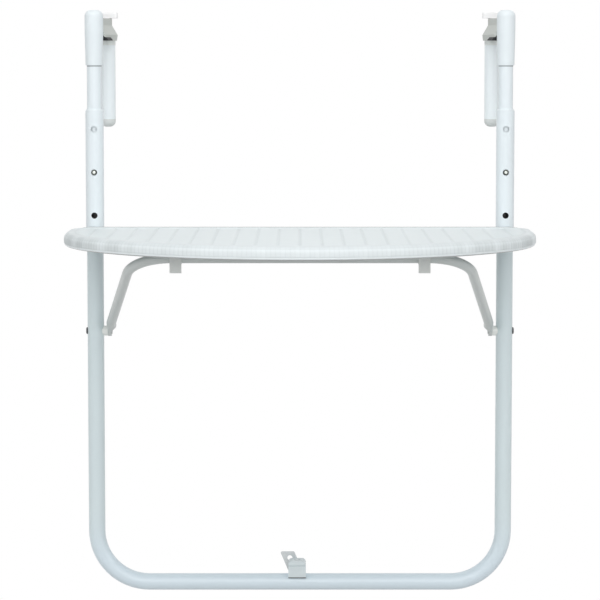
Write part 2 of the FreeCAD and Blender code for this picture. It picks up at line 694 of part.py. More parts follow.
def table_top():
    """The moulded top: a thin skin and rim over crossed ribs, with hinge ears and clip bosses below."""
    hollow = cut(top_cavity(), rib_grid())
    shell = cut(top_blank(), hollow)
    added, removed = [], []
    for _, sign in SIDES:
        post = signed(sign, LEG_X)
        inner = "(tab / 2 + ear_gap)"
        for hand in (-1, 1):
            near, far = f"{post} + {hand} * {inner}", f"{post} + {hand} * ({inner} + ear)"
            x1, x2 = (near, far) if hand > 0 else (far, near)
            added.append(
                part_box(x1, f"{POST_Y} - hinge_reach - ear_reach", TOP_UNDERSIDE,
                         x2, f"{POST_Y} - back_gap - rim_wall / 2", f"{SKIN_UNDERSIDE} + skin / 2")
            )
        removed.append(
            part_box(f"{post} - {inner}", f"{POST_Y} - hinge_reach - ear_reach", f"{TOP_UNDERSIDE} - 1",
                     f"{post} + {inner}", POST_Y, SKIN_UNDERSIDE)
        )
        removed.append(
            part_cylinder(f"{post} - {inner} - ear - 1", f"{POST_Y} - hinge_reach", "-hinge_drop",
                          "hinge_pin / 2 + running_gap", f"2 * ({inner} + ear + 1)", Vector(1, 0, 0))
        )
        clip = signed(sign, "clip_offset")
        removed.append(
            part_box(f"{clip} - clip_width / 2 - seat_gap", f"{BAR_Y} - clip_front - seat_gap",
                     f"{TOP_UNDERSIDE} - 1",
                     f"{clip} + clip_width / 2 + seat_gap", f"{BAR_Y} + clip_back + seat_gap",
                     f"{TOP_UNDERSIDE} + clip_plate + seat_gap")
        )
    bosses, pilots = [], []
    boss_foot = f"{TOP_UNDERSIDE} + clip_plate + seat_gap"
    for x, y in clip_screw_places():
        bosses.append(
            part_cylinder(x, y, boss_foot, "boss / 2", f"{SKIN_UNDERSIDE} + skin / 2 - ({boss_foot})")
        )
        pilots.append(part_cylinder(x, y, f"{boss_foot} - 1", "screw / 2 + running_gap",
                                    f"{SKIN_UNDERSIDE} - ({boss_foot}) + 0.5"))
    moulding = cut(fuse(shell, *added), *removed)
    return node("table_top", cut(fuse(moulding, *bosses), *pilots))


def brace_bar():
    """The U-shaped steel bar under the top, with flattened, drilled ends at the pivots."""
    body = new_body("brace_bar")
    end, corner = ARM_X, "bar_spread / 2"
    path = new_sketch(body, "XY_Plane")
    outline(
        path,
        [
            (f"-{end}", "bar_start"),
            (f"-{end}", "knee", "knee_bend"),
            (f"-{corner}", ARM_LENGTH, "bar_bend"),
            (corner, ARM_LENGTH, "bar_bend"),
            (end, "knee", "knee_bend"),
            (end, "bar_start"),
        ],
        closed=False,
    )
    section = new_sketch(body, "XZ_Plane", "-bar_start")
    circle(section, f"-{end}", "0", "brace_tube / 2")
    pipe = body.newObject("PartDesign::AdditivePipe", "Pipe")
    pipe.Profile = section
    pipe.Spine = path
    doc.recompute()
    whole = fuse(body, *(brace_tongue(sign) for _, sign in SIDES))
    bore = part_cylinder(f"-{LEG_INNER}", "0", "0", RIVET_BORE, f"2 * {LEG_INNER}", Vector(1, 0, 0))
    made = cut(whole, bore)
    made.Placement = Placement(Vector(), Rotation(Vector(1, 0, 0), 90))
    place(made, "0", POST_Y, "-pivot_drop")
    bind(made, ".Placement.Rotation.Angle", f"180 deg - atan({BAR_RISE} / bar_reach)")
    return node("brace_bar", made)


def brace_tongue(sign):
    """One flattened end: a round-nosed plate that swells into the round bar."""
    body = new_body("tongue")
    middle = signed(sign, TONGUE_MIDDLE)
    plate = new_sketch(body, "YZ_Plane", middle)
    box_outline(plate, "0", "-tongue_width / 2", "tongue_length", "tongue_width / 2")
    pad(body, plate, "tongue", middle=True)
    nose = new_sketch(body, "YZ_Plane", middle)
    circle(nose, "0", "0", "tongue_width / 2")
    pad(body, nose, "tongue", middle=True)
    sections = []
    nearly_round = f"{NEARLY_HALF} * brace_tube"
    for set_off, x, wide, high, corner in (
        ("tongue_length", middle, "tongue", "tongue_width", "tongue_round"),
        ("bar_start", signed(sign, ARM_X), "brace_tube", "brace_tube", nearly_round),
    ):
        section = new_sketch(body, "XZ_Plane", f"-{set_off}")
        x1, x2 = f"{x} - {wide} / 2", f"{x} + {wide} / 2"
        low, top = f"-{high} / 2", f"{high} / 2"
        outline(section, [(x1, low, corner), (x2, low, corner), (x2, top, corner), (x1, top, corner)])
        sections.append(section)
    loft = body.newObject("PartDesign::AdditiveLoft", "Loft")
    loft.Profile = sections[0]
    loft.Sections = sections[1:]
    doc.recompute()
    return body


def spacer_bush(side, sign):
    """The plastic bush that keeps the brace off the leg, hollowed to the leg's round side."""
    axis = Vector(-sign, 0, 0)
    leg = signed(sign, LEG_X)
    whole = "frame_tube / 2 + bush_length - seat_gap / 2"
    outer = part_cylinder(leg, POST_Y, "-pivot_drop", "spacer / 2", whole, axis)
    bore_radius = "rivet / 2 + seat_gap / 2"
    bore = part_cylinder(leg, POST_Y, "-pivot_drop", bore_radius, "frame_tube + bush_length", axis)
    hollow = part_cylinder(leg, POST_Y, "-pivot_drop - spacer", "frame_tube / 2 + seat_gap / 3", "2 * spacer")
    return node(f"spacer_bush_{side}", cut(outer, bore, hollow))


def pivot_rivet(side, sign):
    """The rivet through leg, spacer bush and brace end, with a domed head on the outside."""
    outside = "(frame_tube / 2 + seat_gap / 2)"
    inside = "(frame_tube / 2 + bush_length + tongue + seat_gap / 2)"
    body = turned(
        "pivot_rivet",
        [
            ("0", f"-{inside} - rivet_tail"),
            ("rivet_head / 2", f"-{inside} - rivet_tail", "rivet_tail_round"),
            ("rivet_head / 2", f"-{inside}"),
            ("rivet / 2", f"-{inside}"),
            ("rivet / 2", outside),
            ("rivet_head / 2", outside),
            ("rivet_head / 2", f"{outside} + rivet_dome", "rivet_dome_round"),
            ("0", f"{outside} + rivet_dome"),
        ],
    )
    body.Placement = Placement(Vector(), Rotation(Vector(0, 1, 0), sign * 90))
    place(body, signed(sign, LEG_X), POST_Y, "-pivot_drop")
    return node(f"pivot_rivet_{side}", body)


def bar_clip(side, sign):
    """The clip under the top that the brace's cross bar snaps into, with a finger tab at the front."""
    body = new_body("bar_clip")
    base = f"({TOP_UNDERSIDE} + {BAR_DROP})"
    grip = "(brace_tube / 2 + seat_gap)"
    front, rear = f"-({grip} + clip_prong)", f"{grip} + clip_prong"
    mouth = "(clip_mouth / 2)"
    foot = "(-brace_tube / 2 - clip_tab_drop)"
    profile = new_sketch(body, "YZ_Plane")
    outline(
        profile,
        [
            ("-clip_front", f"{base} + clip_plate"),
            ("-clip_front", base),
            (front, base),
            (front, foot, "clip_prong / 3"),
            (f"-{grip}", foot, "clip_prong / 3"),
            (f"-{grip}", "-brace_tube / 2 - clip_prong"),
            (f"-{mouth}", "-brace_tube / 2 + clip_prong / 3"),
            (f"-{mouth}", "0"),
            (mouth, "0"),
            (mouth, "-brace_tube / 2 + clip_prong / 3"),
            (grip, "-brace_tube / 2 - clip_prong / 2"),
            (rear, "-brace_tube / 2 - clip_prong / 2"),
            (rear, base),
            ("clip_back", base),
            ("clip_back", f"{base} + clip_plate"),
        ],
    )
    pad(body, profile, "clip_width", middle=True)
    seat = new_sketch(body, "YZ_Plane")
    circle(seat, "0", "0", grip)
    pocket(body, seat, "2 * clip_width", middle=True)
    place(body, signed(sign, "clip_offset"), BAR_Y, f"-{BAR_DROP}")
    holes = []
    for x, y in clip_screw_places()[0 if sign < 0 else 2:][:2]:
        plate_foot = TOP_UNDERSIDE
        holes.append(part_cylinder(x, y, f"{plate_foot} - 1", "screw / 2 + seat_gap / 2", "clip_plate * 2"))
        sink = doc.addObject("Part::Cone", "Sink")
        place(sink, x, y, f"{plate_foot} - 0.01")
        bind(sink, "Radius1", "screw_head / 2 + seat_gap / 2")
        bind(sink, "Radius2", "screw / 2")
        bind(sink, "Height", "(screw_head - screw) / 2 + seat_gap / 2")
        holes.append(sink)
    return node(f"bar_clip_{side}", cut(body, *holes))


def clip_screws():
    """Four like countersunk screws that hold the two clips."""
    screws = []
    for x, y in clip_screw_places():
        head = "(screw_head - screw) / 2"
        screws.append(
            turned(
                "clip_screw",
                [
                    ("0", "0"),
                    ("screw_head / 2", "0"),
                    ("screw / 2", head),
                    ("screw / 2", "screw_length - screw / 2"),
                    ("0", "screw_length"),
                ],
                x,
                y,
                f"{TOP_UNDERSIDE} + seat_gap / 4",
            )
        )
    return node("clip_screws", group(screws))


def mast_tube(side, sign):
    """The inner tube that slides in the post and carries the hook. A hole lets its button out."""
    body = new_body("mast")
    section = new_sketch(body, "XY_Plane", "-button_drop - mast_tail")
    circle(section, "0", "0", "mast_tube / 2")
    circle(section, "0", "0", "mast_tube / 2 - tube_wall")
    pad(body, section, "mast_top + button_drop + mast_tail")
    hole = new_sketch(body, "XZ_Plane")
    circle(hole, "0", "-button_drop", "button / 2 + running_gap")
    pocket(body, hole, "mast_tube", back=True)
    place(body, signed(sign, LEG_X), POST_Y)
    return node(f"mast_tube_{side}", body)


def height_button(side, sign):
    """The domed button that locks the height. Its flange stays inside the mast."""
    dome = "(post_tube / 2 + button_proud)"
    body = turned(
        "height_button",
        [
            ("0", f"{BUTTON_SEAT} - flange"),
            (BUTTON_FLANGE, f"{BUTTON_SEAT} - flange"),
            (BUTTON_FLANGE, BUTTON_SEAT),
            ("button / 2", BUTTON_SEAT),
            ("button / 2", dome, "button_round"),
            ("0", dome),
        ],
    )
    body.Placement = Placement(Vector(), Rotation(Vector(1, 0, 0), 90))
    place(body, signed(sign, LEG_X), POST_Y, "-button_drop")
    return node(f"height_button_{side}", body)


def button_spring(side, sign):
    """The leaf spring folded in a V inside the mast, with one leg behind the button."""
    body = new_body("button_spring")
    front = f"-({BUTTON_SEAT} - flange - seat_gap / 2)"
    back = "(sqrt((mast_tube / 2 - tube_wall)^2 - (spring_width / 2)^2) - seat_gap)"
    low = "(spring_rise - spring_length)"
    sketch = new_sketch(body, "YZ_Plane")
    outline(
        sketch,
        [
            (front, "spring_rise"),
            (front, "-spring_straight"),
            ("-spring_strip", low),
            ("spring_strip", low),
            (back, "spring_rise"),
            (f"{back} - spring_strip", "spring_rise"),
            ("0", f"{low} + 1.6 * spring_strip"),
            (f"{front} + spring_strip", "spring_strip / 4 - spring_straight"),
            (f"{front} + spring_strip", "spring_rise"),
        ],
    )
    pad(body, sketch, "spring_width", middle=True)
    place(body, signed(sign, LEG_X), POST_Y, "-button_drop")
    return node(f"button_spring_{side}", body)


def hook_cap(side, sign):
    """The tapered plastic cap on the mast, with a rounded top and a pocket for the bridge."""
    body = turned(
        "hook_cap",
        [
            (MAST_BORE, "-cap_drop"),
            ("cap_foot / 2 - cap_bevel", "-cap_drop"),
            ("cap_foot / 2", "-cap_drop + cap_bevel"),
            ("cap / 2", "cap_taper_top"),
            ("cap / 2", "cap_top", "cap_round"),
            ("0", "cap_top"),
            ("0", "mast_top + seat_gap"),
            (MAST_BORE, "mast_top + seat_gap"),
        ],
    )
    slot = new_sketch(body, "YZ_Plane")
    box_outline(slot, "0", "bridge_tongue_low - seat_gap / 2", "cap", "bridge_tongue_high + seat_gap / 2")
    pocket(body, slot, "bridge_tongue + seat_gap", middle=True)
    cross = new_sketch(body, "YZ_Plane")
    circle(cross, "bridge_pin_set", "(bridge_tongue_low + bridge_tongue_high) / 2", PIN_BORE)
    pocket(body, cross, "2 * cap", middle=True)
    hook_place(body, sign)
    return node(f"hook_cap_{side}", body)


def rail_bridge(side, sign):
    """The moulding over the rail: a ridge with sloping flanks over the pad, slotted for the clamp screw."""
    body = new_body("rail_bridge")
    section = new_sketch(body, "XZ_Plane", "-arm_set")
    half = [
        ("bridge_half", "0"),
        ("bridge_shoulder", "bridge_shoulder_height"),
        ("bridge_neck", "bridge_neck_height"),
        ("bridge_neck", "bridge_top"),
    ]
    outline(section, half + [(f"-{x}", z) for x, z in reversed(half)])
    pad(body, section, "arm_set - cap / 4")
    tail = new_sketch(body, "XZ_Plane", "-arm_set")
    outline(tail, [("0", "0")] + half + [("0", "bridge_top")])
    revolve(body, tail)
    around_cap = new_sketch(body, "XY_Plane", "-1")
    circle(around_cap, "0", "0", "cap / 2 + seat_gap")
    pocket(body, around_cap, "bridge_top + 2", back=True)
    recess = new_sketch(body, "XZ_Plane")
    flank = [
        ("pad_half + seat_gap", "-pad_height"),
        ("pad_half + seat_gap", "pad_height / 8 + seat_gap"),
        ("pad_lip + seat_gap", "pad_height + seat_gap"),
    ]
    outline(recess, flank + [(f"-({x})", z) for x, z in reversed(flank)])
    pocket(body, recess, "pad_end + seat_gap")
    wide, front = "(clamp_screw / 2 + seat_gap)", "(arm_set - jaw_travel)"
    slot = new_sketch(body, "XY_Plane", "-1")
    box_outline(slot, f"-{wide}", front, wide, "arm_set")
    pocket(body, slot, "bridge_top + 2", back=True)
    for middle in (front, "arm_set"):
        slot_end = new_sketch(body, "XY_Plane", "-1")
        circle(slot_end, "0", middle, wide)
        pocket(body, slot_end, "bridge_top + 2", back=True)
    tongue = new_sketch(body, "XZ_Plane", "-cap / 2 - 2")
    low, high = "bridge_tongue_low", "bridge_tongue_high"
    box_outline(tongue, "-bridge_tongue / 2", low, "bridge_tongue / 2", high)
    pad(body, tongue, "cap / 2 + 2 - seat_gap")
    pin_hole = new_sketch(body, "YZ_Plane")
    circle(pin_hole, "bridge_pin_set", f"({low} + {high}) / 2", PIN_BORE)
    pocket(body, pin_hole, "2 * cap", middle=True)
    hook_place(body, sign)
    return node(f"rail_bridge_{side}", body)


def bridge_pin(side, sign):
    """The cross pin that holds the bridge's tongue in the cap."""
    body = new_body("bridge_pin")
    section = new_sketch(body, "YZ_Plane")
    circle(section, "0", "0", "bridge_pin / 2")
    pad(body, section, "2 * sqrt((cap / 2)^2 - bridge_pin_set^2) - 2 * seat_gap", middle=True)
    hook_place(body, sign, "bridge_pin_set", "(bridge_tongue_low + bridge_tongue_high) / 2")
    return node(f"bridge_pin_{side}", body)


def rail_pad(side, sign):
    """The rubber pad that rests on the rail, flared at its foot and grooved across underneath."""
    body = new_body("rail_pad")
    section = new_sketch(body, "XZ_Plane", "-pad_end")
    half = [("pad_half", "0"), ("pad_half", "pad_height / 8"), ("pad_lip", "pad_height")]
    outline(section, half + [(f"-{x}", z) for x, z in reversed(half)])
    pad(body, section, "pad_end - pad_start")
    grooves = new_sketch(body, "YZ_Plane")
    for step in (1, 2, 3):
        middle = f"pad_start + {step} / 4 * (pad_end - pad_start)"
        near, far = f"{middle} - pad_groove / 2", f"{middle} + pad_groove / 2"
        box_outline(grooves, near, "-pad_groove", far, "pad_groove")
    pocket(body, grooves, "4 * pad_half", middle=True)
    hook_place(body, sign)
    return node(f"rail_pad_{side}", body)


def rear_arm(side, sign):
    """The steel tube that hangs behind the rail."""
    body = new_body("rear_arm")
    section = new_sketch(body, "XY_Plane", "-arm_drop")
    circle(section, "0", "0", "arm_tube / 2")
    circle(section, "0", "0", "arm_tube / 2 - tube_wall")
    pad(body, section, "arm_drop - arm_collar")
    hook_place(body, sign, "arm_set")
    return node(f"rear_arm_{side}", body)


def arm_plug(side, sign):
    """The plug in the rear arm's upper end, with a collar that slides under the bridge."""
    inside = "(arm_tube / 2 - tube_wall - running_gap)"
    bore = "(clamp_screw / 2 + running_gap)"
    body = turned(
        "arm_plug",
        [
            (bore, "-arm_collar - arm_plug_depth"),
            (f"{inside} - 1", "-arm_collar - arm_plug_depth"),
            (inside, "-arm_collar - arm_plug_depth + 2"),
            (inside, "-arm_collar"),
            ("arm_tube / 2 + seat_gap", "-arm_collar"),
            ("arm_tube / 2 + seat_gap", "-seat_gap"),
            (bore, "-seat_gap"),
        ],
    )
    hook_place(body, sign, "arm_set")
    return node(f"arm_plug_{side}", body)


def arm_end_cap(side, sign):
    """The domed cap in the rear arm's lower end."""
    inside = "(arm_tube / 2 - tube_wall - running_gap)"
    body = turned(
        "arm_end_cap",
        [
            ("0", "-arm_drop - end_cap"),
            ("arm_tube / 2", "-arm_drop - end_cap", "end_cap_round"),
            ("arm_tube / 2", "-arm_drop"),
            (inside, "-arm_drop"),
            (inside, "-arm_drop + end_cap_spigot"),
            (f"{inside} - 2 * tube_wall", "-arm_drop + end_cap_spigot"),
            (f"{inside} - 2 * tube_wall", "-arm_drop"),
            ("0", "-arm_drop"),
        ],
    )
    hook_place(body, sign, "arm_set")
    return node(f"arm_end_cap_{side}", body)


def clamp_screw(side, sign):
    """The screw from the knob down through the bridge's slot into the rear arm's plug."""
    tip = "-clamp_screw_drop"
    body = turned(
        "clamp_screw",
        [
            ("0", tip),
            ("clamp_screw / 2 - 1", tip),
            ("clamp_screw / 2", f"{tip} + 1"),
            ("clamp_screw / 2", KNOB_SCREW_TOP),
            ("0", KNOB_SCREW_TOP),
        ],
    )
    hook_place(body, sign, "arm_set")
    return node(f"clamp_screw_{side}", body)


def clamp_knob(side, sign):
    """The wing knob: a low round foot on the bridge and two blunt wings across it, over the screw's end."""
    body = turned(
        "clamp_knob",
        [
            ("0", "bridge_top + seat_gap"),
            ("bridge_neck", "bridge_top + seat_gap"),
            ("bridge_neck - 0.6", "bridge_top + knob_boss_height + 0.5"),
            ("0", "bridge_top + knob_boss_height + 0.5"),
        ],
    )
    wings = new_sketch(body, "XY_Plane", "bridge_top + knob_boss_height")
    end, side_face = "knob_length / 2", "knob_width / 2"
    corner = "knob_round"
    outline(wings, [(f"-{end}", f"-{side_face}", corner), (end, f"-{side_face}", corner),
                    (end, side_face, corner), (f"-{end}", side_face, corner)])
    pad(body, wings, "knob_height")
    socket = new_sketch(body, "XY_Plane", "bridge_top")
    circle(socket, "0", "0", "clamp_screw / 2 + running_gap")
    pocket(body, socket, f"{KNOB_SCREW_TOP} + seat_gap - bridge_top", back=True)
    top = number("bridge_top + knob_boss_height + knob_height")
    round_edges(body, lambda e: e.BoundBox.ZMin > top - 0.01, "knob_top_round")
    hook_place(body, sign, "arm_set")
    return node(f"clamp_knob_{side}", body)


def bracket_block():
    """The moulded saddle block on the bottom bar that carries the tie plate."""
    body = new_body("bracket_block")
    front = new_sketch(body, "XZ_Plane", "seat_to_post + block_front")
    left, right = "block_side - block_width / 2", "block_side + block_width / 2"
    outline(
        front,
        [
            (left, "-frame_drop + block_foot"),
            (right, "-frame_drop + block_foot"),
            (right, "-frame_drop + block_top", "block_round"),
            (left, "-frame_drop + block_top", "block_round"),
        ],
    )
    pad(body, front, "block_front + block_back", back=True)
    saddle = new_sketch(body, "YZ_Plane")
    circle(saddle, POST_Y, f"-{TUBE_AXIS_DROP}", "frame_tube / 2 + running_gap")
    pocket(body, saddle, "4 * block_width", middle=True)
    line = new_sketch(body, "YZ_Plane")
    level = "(-frame_drop + block_line_height)"
    box_outline(line, f"{POST_Y} - block_front - 1", f"{level} - block_line / 2",
                f"{POST_Y} - block_front + block_line", f"{level} + block_line / 2")
    pocket(body, line, "4 * block_width", middle=True)
    shaft = new_sketch(body, "XY_Plane", "-frame_drop + block_top")
    circle(shaft, "block_side", POST_Y, "screw / 2 + seat_gap / 2")
    pocket(body, shaft, "block_top")
    sink = new_sketch(body, "XY_Plane", "-frame_drop + block_top")
    circle(sink, "block_side", POST_Y, "screw_head / 2 + seat_gap")
    pocket(body, sink, "screw_head_height + 2 * seat_gap")
    rivet_hole = new_sketch(body, "XZ_Plane", BLOCK_BACK)
    circle(rivet_hole, "plate_side", "-frame_drop + plate_pivot_height", "tie_rivet / 2 + running_gap")
    pocket(body, rivet_hole, "tie_rivet_depth + seat_gap", back=True)
    return node("bracket_block", body)


def block_screw():
    """The screw down through the block into the top of the bottom bar."""
    head_foot = "-frame_drop + block_top - screw_head_height - seat_gap"
    tip = "-frame_drop + frame_tube - 2 * screw"
    body = turned(
        "block_screw",
        [
            ("0", tip),
            ("screw / 2", f"{tip} + screw / 2"),
            ("screw / 2", head_foot),
            ("screw_head / 2", head_foot),
            ("screw_head / 2", f"{head_foot} + screw_head_height", "screw_head_height / 2"),
            ("0", f"{head_foot} + screw_head_height"),
        ],
        "block_side",
        POST_Y,
    )
    return node("block_screw", body)


def tie_plate():
    """The swinging metal plate with a hole for a cord or cable tie, at the back of the block."""
    body = new_body("tie_plate")
    face = new_sketch(body, "XZ_Plane", f"{BLOCK_BACK} - seat_gap")
    half, lean = "plate_width / 2", "plate_lean"
    pivot = "(-frame_drop + plate_pivot_height)"
    rise = "(plate_top - plate_pivot_height)"
    outline(
        face,
        [
            (f"plate_side - {rise} * tan({lean}) + {half} / cos({lean})", "-frame_drop + plate_top", "plate"),
            (f"plate_side - {rise} * tan({lean}) - {half} / cos({lean})", "-frame_drop + plate_top", "plate"),
            (f"plate_side - {half} * cos({lean})", f"{pivot} - {half} * sin({lean})"),
            (f"plate_side + {half} * cos({lean})", f"{pivot} + {half} * sin({lean})"),
        ],
    )
    pad(body, face, "plate", back=True)
    foot = new_sketch(body, "XZ_Plane", f"{BLOCK_BACK} - seat_gap")
    circle(foot, "plate_side", pivot, half)
    pad(body, foot, "plate", back=True)
    holes = new_sketch(body, "XZ_Plane", f"{BLOCK_BACK} - seat_gap - plate")
    circle(holes, "plate_side", pivot, "tie_rivet / 2 + running_gap")
    hole_x, hole_z = f"plate_side - tie_hole_set * sin({lean})", f"{pivot} + tie_hole_set * cos({lean})"
    circle(holes, hole_x, hole_z, "tie_hole / 2")
    pocket(body, holes, "2 * plate", middle=True)
    return node("tie_plate", body)


def tie_rivet():
    """The rivet that the tie plate swings on."""
    plate_back = "(plate + 2 * seat_gap)"
    body = turned(
        "tie_rivet",
        [
            ("0", "-tie_rivet_depth"),
            ("tie_rivet / 2", "-tie_rivet_depth"),
            ("tie_rivet / 2", plate_back),
            ("rivet_head / 2", plate_back),
            ("rivet_head / 2", f"{plate_back} + rivet_tail", "rivet_tail_round"),
            ("0", f"{plate_back} + rivet_tail"),
        ],
    )
    body.Placement = Placement(Vector(), Rotation(Vector(1, 0, 0), -90))
    place(body, "plate_side", f"{POST_Y} + block_back", "-frame_drop + plate_pivot_height")
    return node("tie_rivet", body)


def check_and_write():
    doc.recompute()
    for thing in doc.Objects:
        if "Invalid" in thing.State or "Error" in thing.State:
            raise RuntimeError(f"{thing.Label} failed: {thing.State} {thing.getStatusString()}")
    for name, thing in NODES.items():
        shape = thing.Shape
        if shape.isNull() or not shape.isValid() or not shape.Solids:
            raise RuntimeError(f"{name} has no valid solid")
    os.makedirs("parts", exist_ok=True)
    for name, thing in NODES.items():
        thing.Shape.exportStep(f"parts/{name}.step")
    print(f"{len(NODES)} pieces written")


u_frame()
table_top()
brace_bar()
clip_screws()
bracket_block()
block_screw()
tie_plate()
tie_rivet()
PAIRED = (
    post_tube, guide_bush, hinge_tab, hinge_pin, spacer_bush, pivot_rivet, bar_clip, mast_tube, height_button,
    button_spring, hook_cap, rail_bridge, bridge_pin, rail_pad, rear_arm, arm_plug, arm_end_cap, clamp_screw,
    clamp_knob,
)
for make in PAIRED:
    for side, sign in SIDES:
        make(side, sign)
check_and_write()
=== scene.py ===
import math

import bmesh
import bpy
import numpy as np
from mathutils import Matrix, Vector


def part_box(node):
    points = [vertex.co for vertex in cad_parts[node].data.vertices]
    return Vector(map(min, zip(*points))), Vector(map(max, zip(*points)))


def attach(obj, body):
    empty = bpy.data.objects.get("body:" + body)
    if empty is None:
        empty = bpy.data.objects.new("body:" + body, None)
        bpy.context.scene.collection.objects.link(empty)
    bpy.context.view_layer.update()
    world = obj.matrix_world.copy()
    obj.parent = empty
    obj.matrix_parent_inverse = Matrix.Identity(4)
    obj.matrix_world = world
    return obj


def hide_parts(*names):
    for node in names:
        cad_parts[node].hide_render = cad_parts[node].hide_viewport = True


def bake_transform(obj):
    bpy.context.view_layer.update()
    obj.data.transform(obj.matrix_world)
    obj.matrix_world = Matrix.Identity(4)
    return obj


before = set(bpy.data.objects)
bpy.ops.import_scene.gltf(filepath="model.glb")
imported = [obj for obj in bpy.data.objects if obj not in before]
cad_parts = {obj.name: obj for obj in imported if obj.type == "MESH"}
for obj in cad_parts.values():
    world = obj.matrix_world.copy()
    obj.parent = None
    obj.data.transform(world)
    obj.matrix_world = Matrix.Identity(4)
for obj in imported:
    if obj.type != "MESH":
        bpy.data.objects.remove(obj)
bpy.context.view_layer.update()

# The photograph's view: a camera in front of the table, about level with the rail and looking slightly
# down. The table hangs in an all-white studio.
POST_PLANE = -0.04
CAMERA_DISTANCE = 3.2
CAMERA_HEIGHT = -0.0281
CAMERA_TILT = 4.4
CAMERA_LENS = 141.0
CAMERA_SENSOR = 36
CAMERA_SHIFT = -0.097
CAMERA_REACH = 40


def add_object(name, data):
    """A new object in the scene, at the origin, unturned and unscaled."""
    made = bpy.data.objects.new(name, data)
    bpy.context.scene.collection.objects.link(made)
    return made


camera_data = bpy.data.cameras.new("camera")
camera_data.lens = CAMERA_LENS
camera_data.sensor_width = CAMERA_SENSOR
camera_data.shift_y = CAMERA_SHIFT
camera_data.clip_end = CAMERA_REACH
camera = add_object("camera", camera_data)
camera.location = (0, POST_PLANE - CAMERA_DISTANCE, CAMERA_HEIGHT)
camera.rotation_euler = (math.radians(90 - CAMERA_TILT), 0, 0)
bpy.context.scene.camera = camera
bpy.context.scene.view_settings.view_transform = "Standard"

# The studio: a pale floor below the hanging table and an even backdrop, both white to the camera, with
# wide soft lamps overhead, in front, at the sides and behind. Right under the table the floor shows its
# shadow.
FLOOR = -1.05
FLOOR_HALF = 9
FLOOR_POINTS = 7
STAGE_PAINT = (0.6, 0.6, 0.6)
STAGE_ROUGHNESS = 0.9
WHITE_TO_CAMERA = 1.0
SHADOW_INNER = 0.5
SHADOW_OUTER = 1.15
SHADOW_SHARE = 0.4
AMBIENT = 0.5
WHITE = (1, 1, 1, 1)

# Each lamp's place, width in metres and power in watts. All of them face one point in the table's middle.
LAMPS = {
    "lamp_above": ((0, -1.2, 2.2), 1.8, 20.5),
    "lamp_front": ((0, -4.2, 1.0), 2.4, 47),
    "lamp_left": ((-2.4, -2.0, 0.4), 1.4, 10),
    "lamp_right": ((2.4, -2.0, 0.4), 1.4, 10),
    "lamp_behind": ((0, 3.8, 0.6), 2.4, 20),
}
LAMP_AIM = (0, -0.15, -0.35)


class Wire:
    """An output of a shader node, on which Python's own operators make the nodes for the sum."""

    def __init__(self, finish, socket):
        self.finish = finish
        self.socket = socket

    def maths(self, operation, other=0, turned=False):
        """A Math node on this output and another value, or on the two the other way round."""
        first, second = (other, self) if turned else (self, other)
        return self.finish.node("ShaderNodeMath", {"operation": operation}, {0: first, 1: second})

    def __add__(self, other):
        return self.maths("ADD", other)

    def __radd__(self, other):
        return self.maths("ADD", other, True)

    def __sub__(self, other):
        return self.maths("SUBTRACT", other)

    def __rsub__(self, other):
        return self.maths("SUBTRACT", other, True)

    def __mul__(self, other):
        return self.maths("MULTIPLY", other)

    def __rmul__(self, other):
        return self.maths("MULTIPLY", other, True)

    def __pow__(self, other):
        return self.maths("POWER", other)

    def __abs__(self):
        return self.maths("ABSOLUTE")

    def __lt__(self, other):
        return self.maths("LESS_THAN", other)

    def __gt__(self, other):
        return self.maths("GREATER_THAN", other)


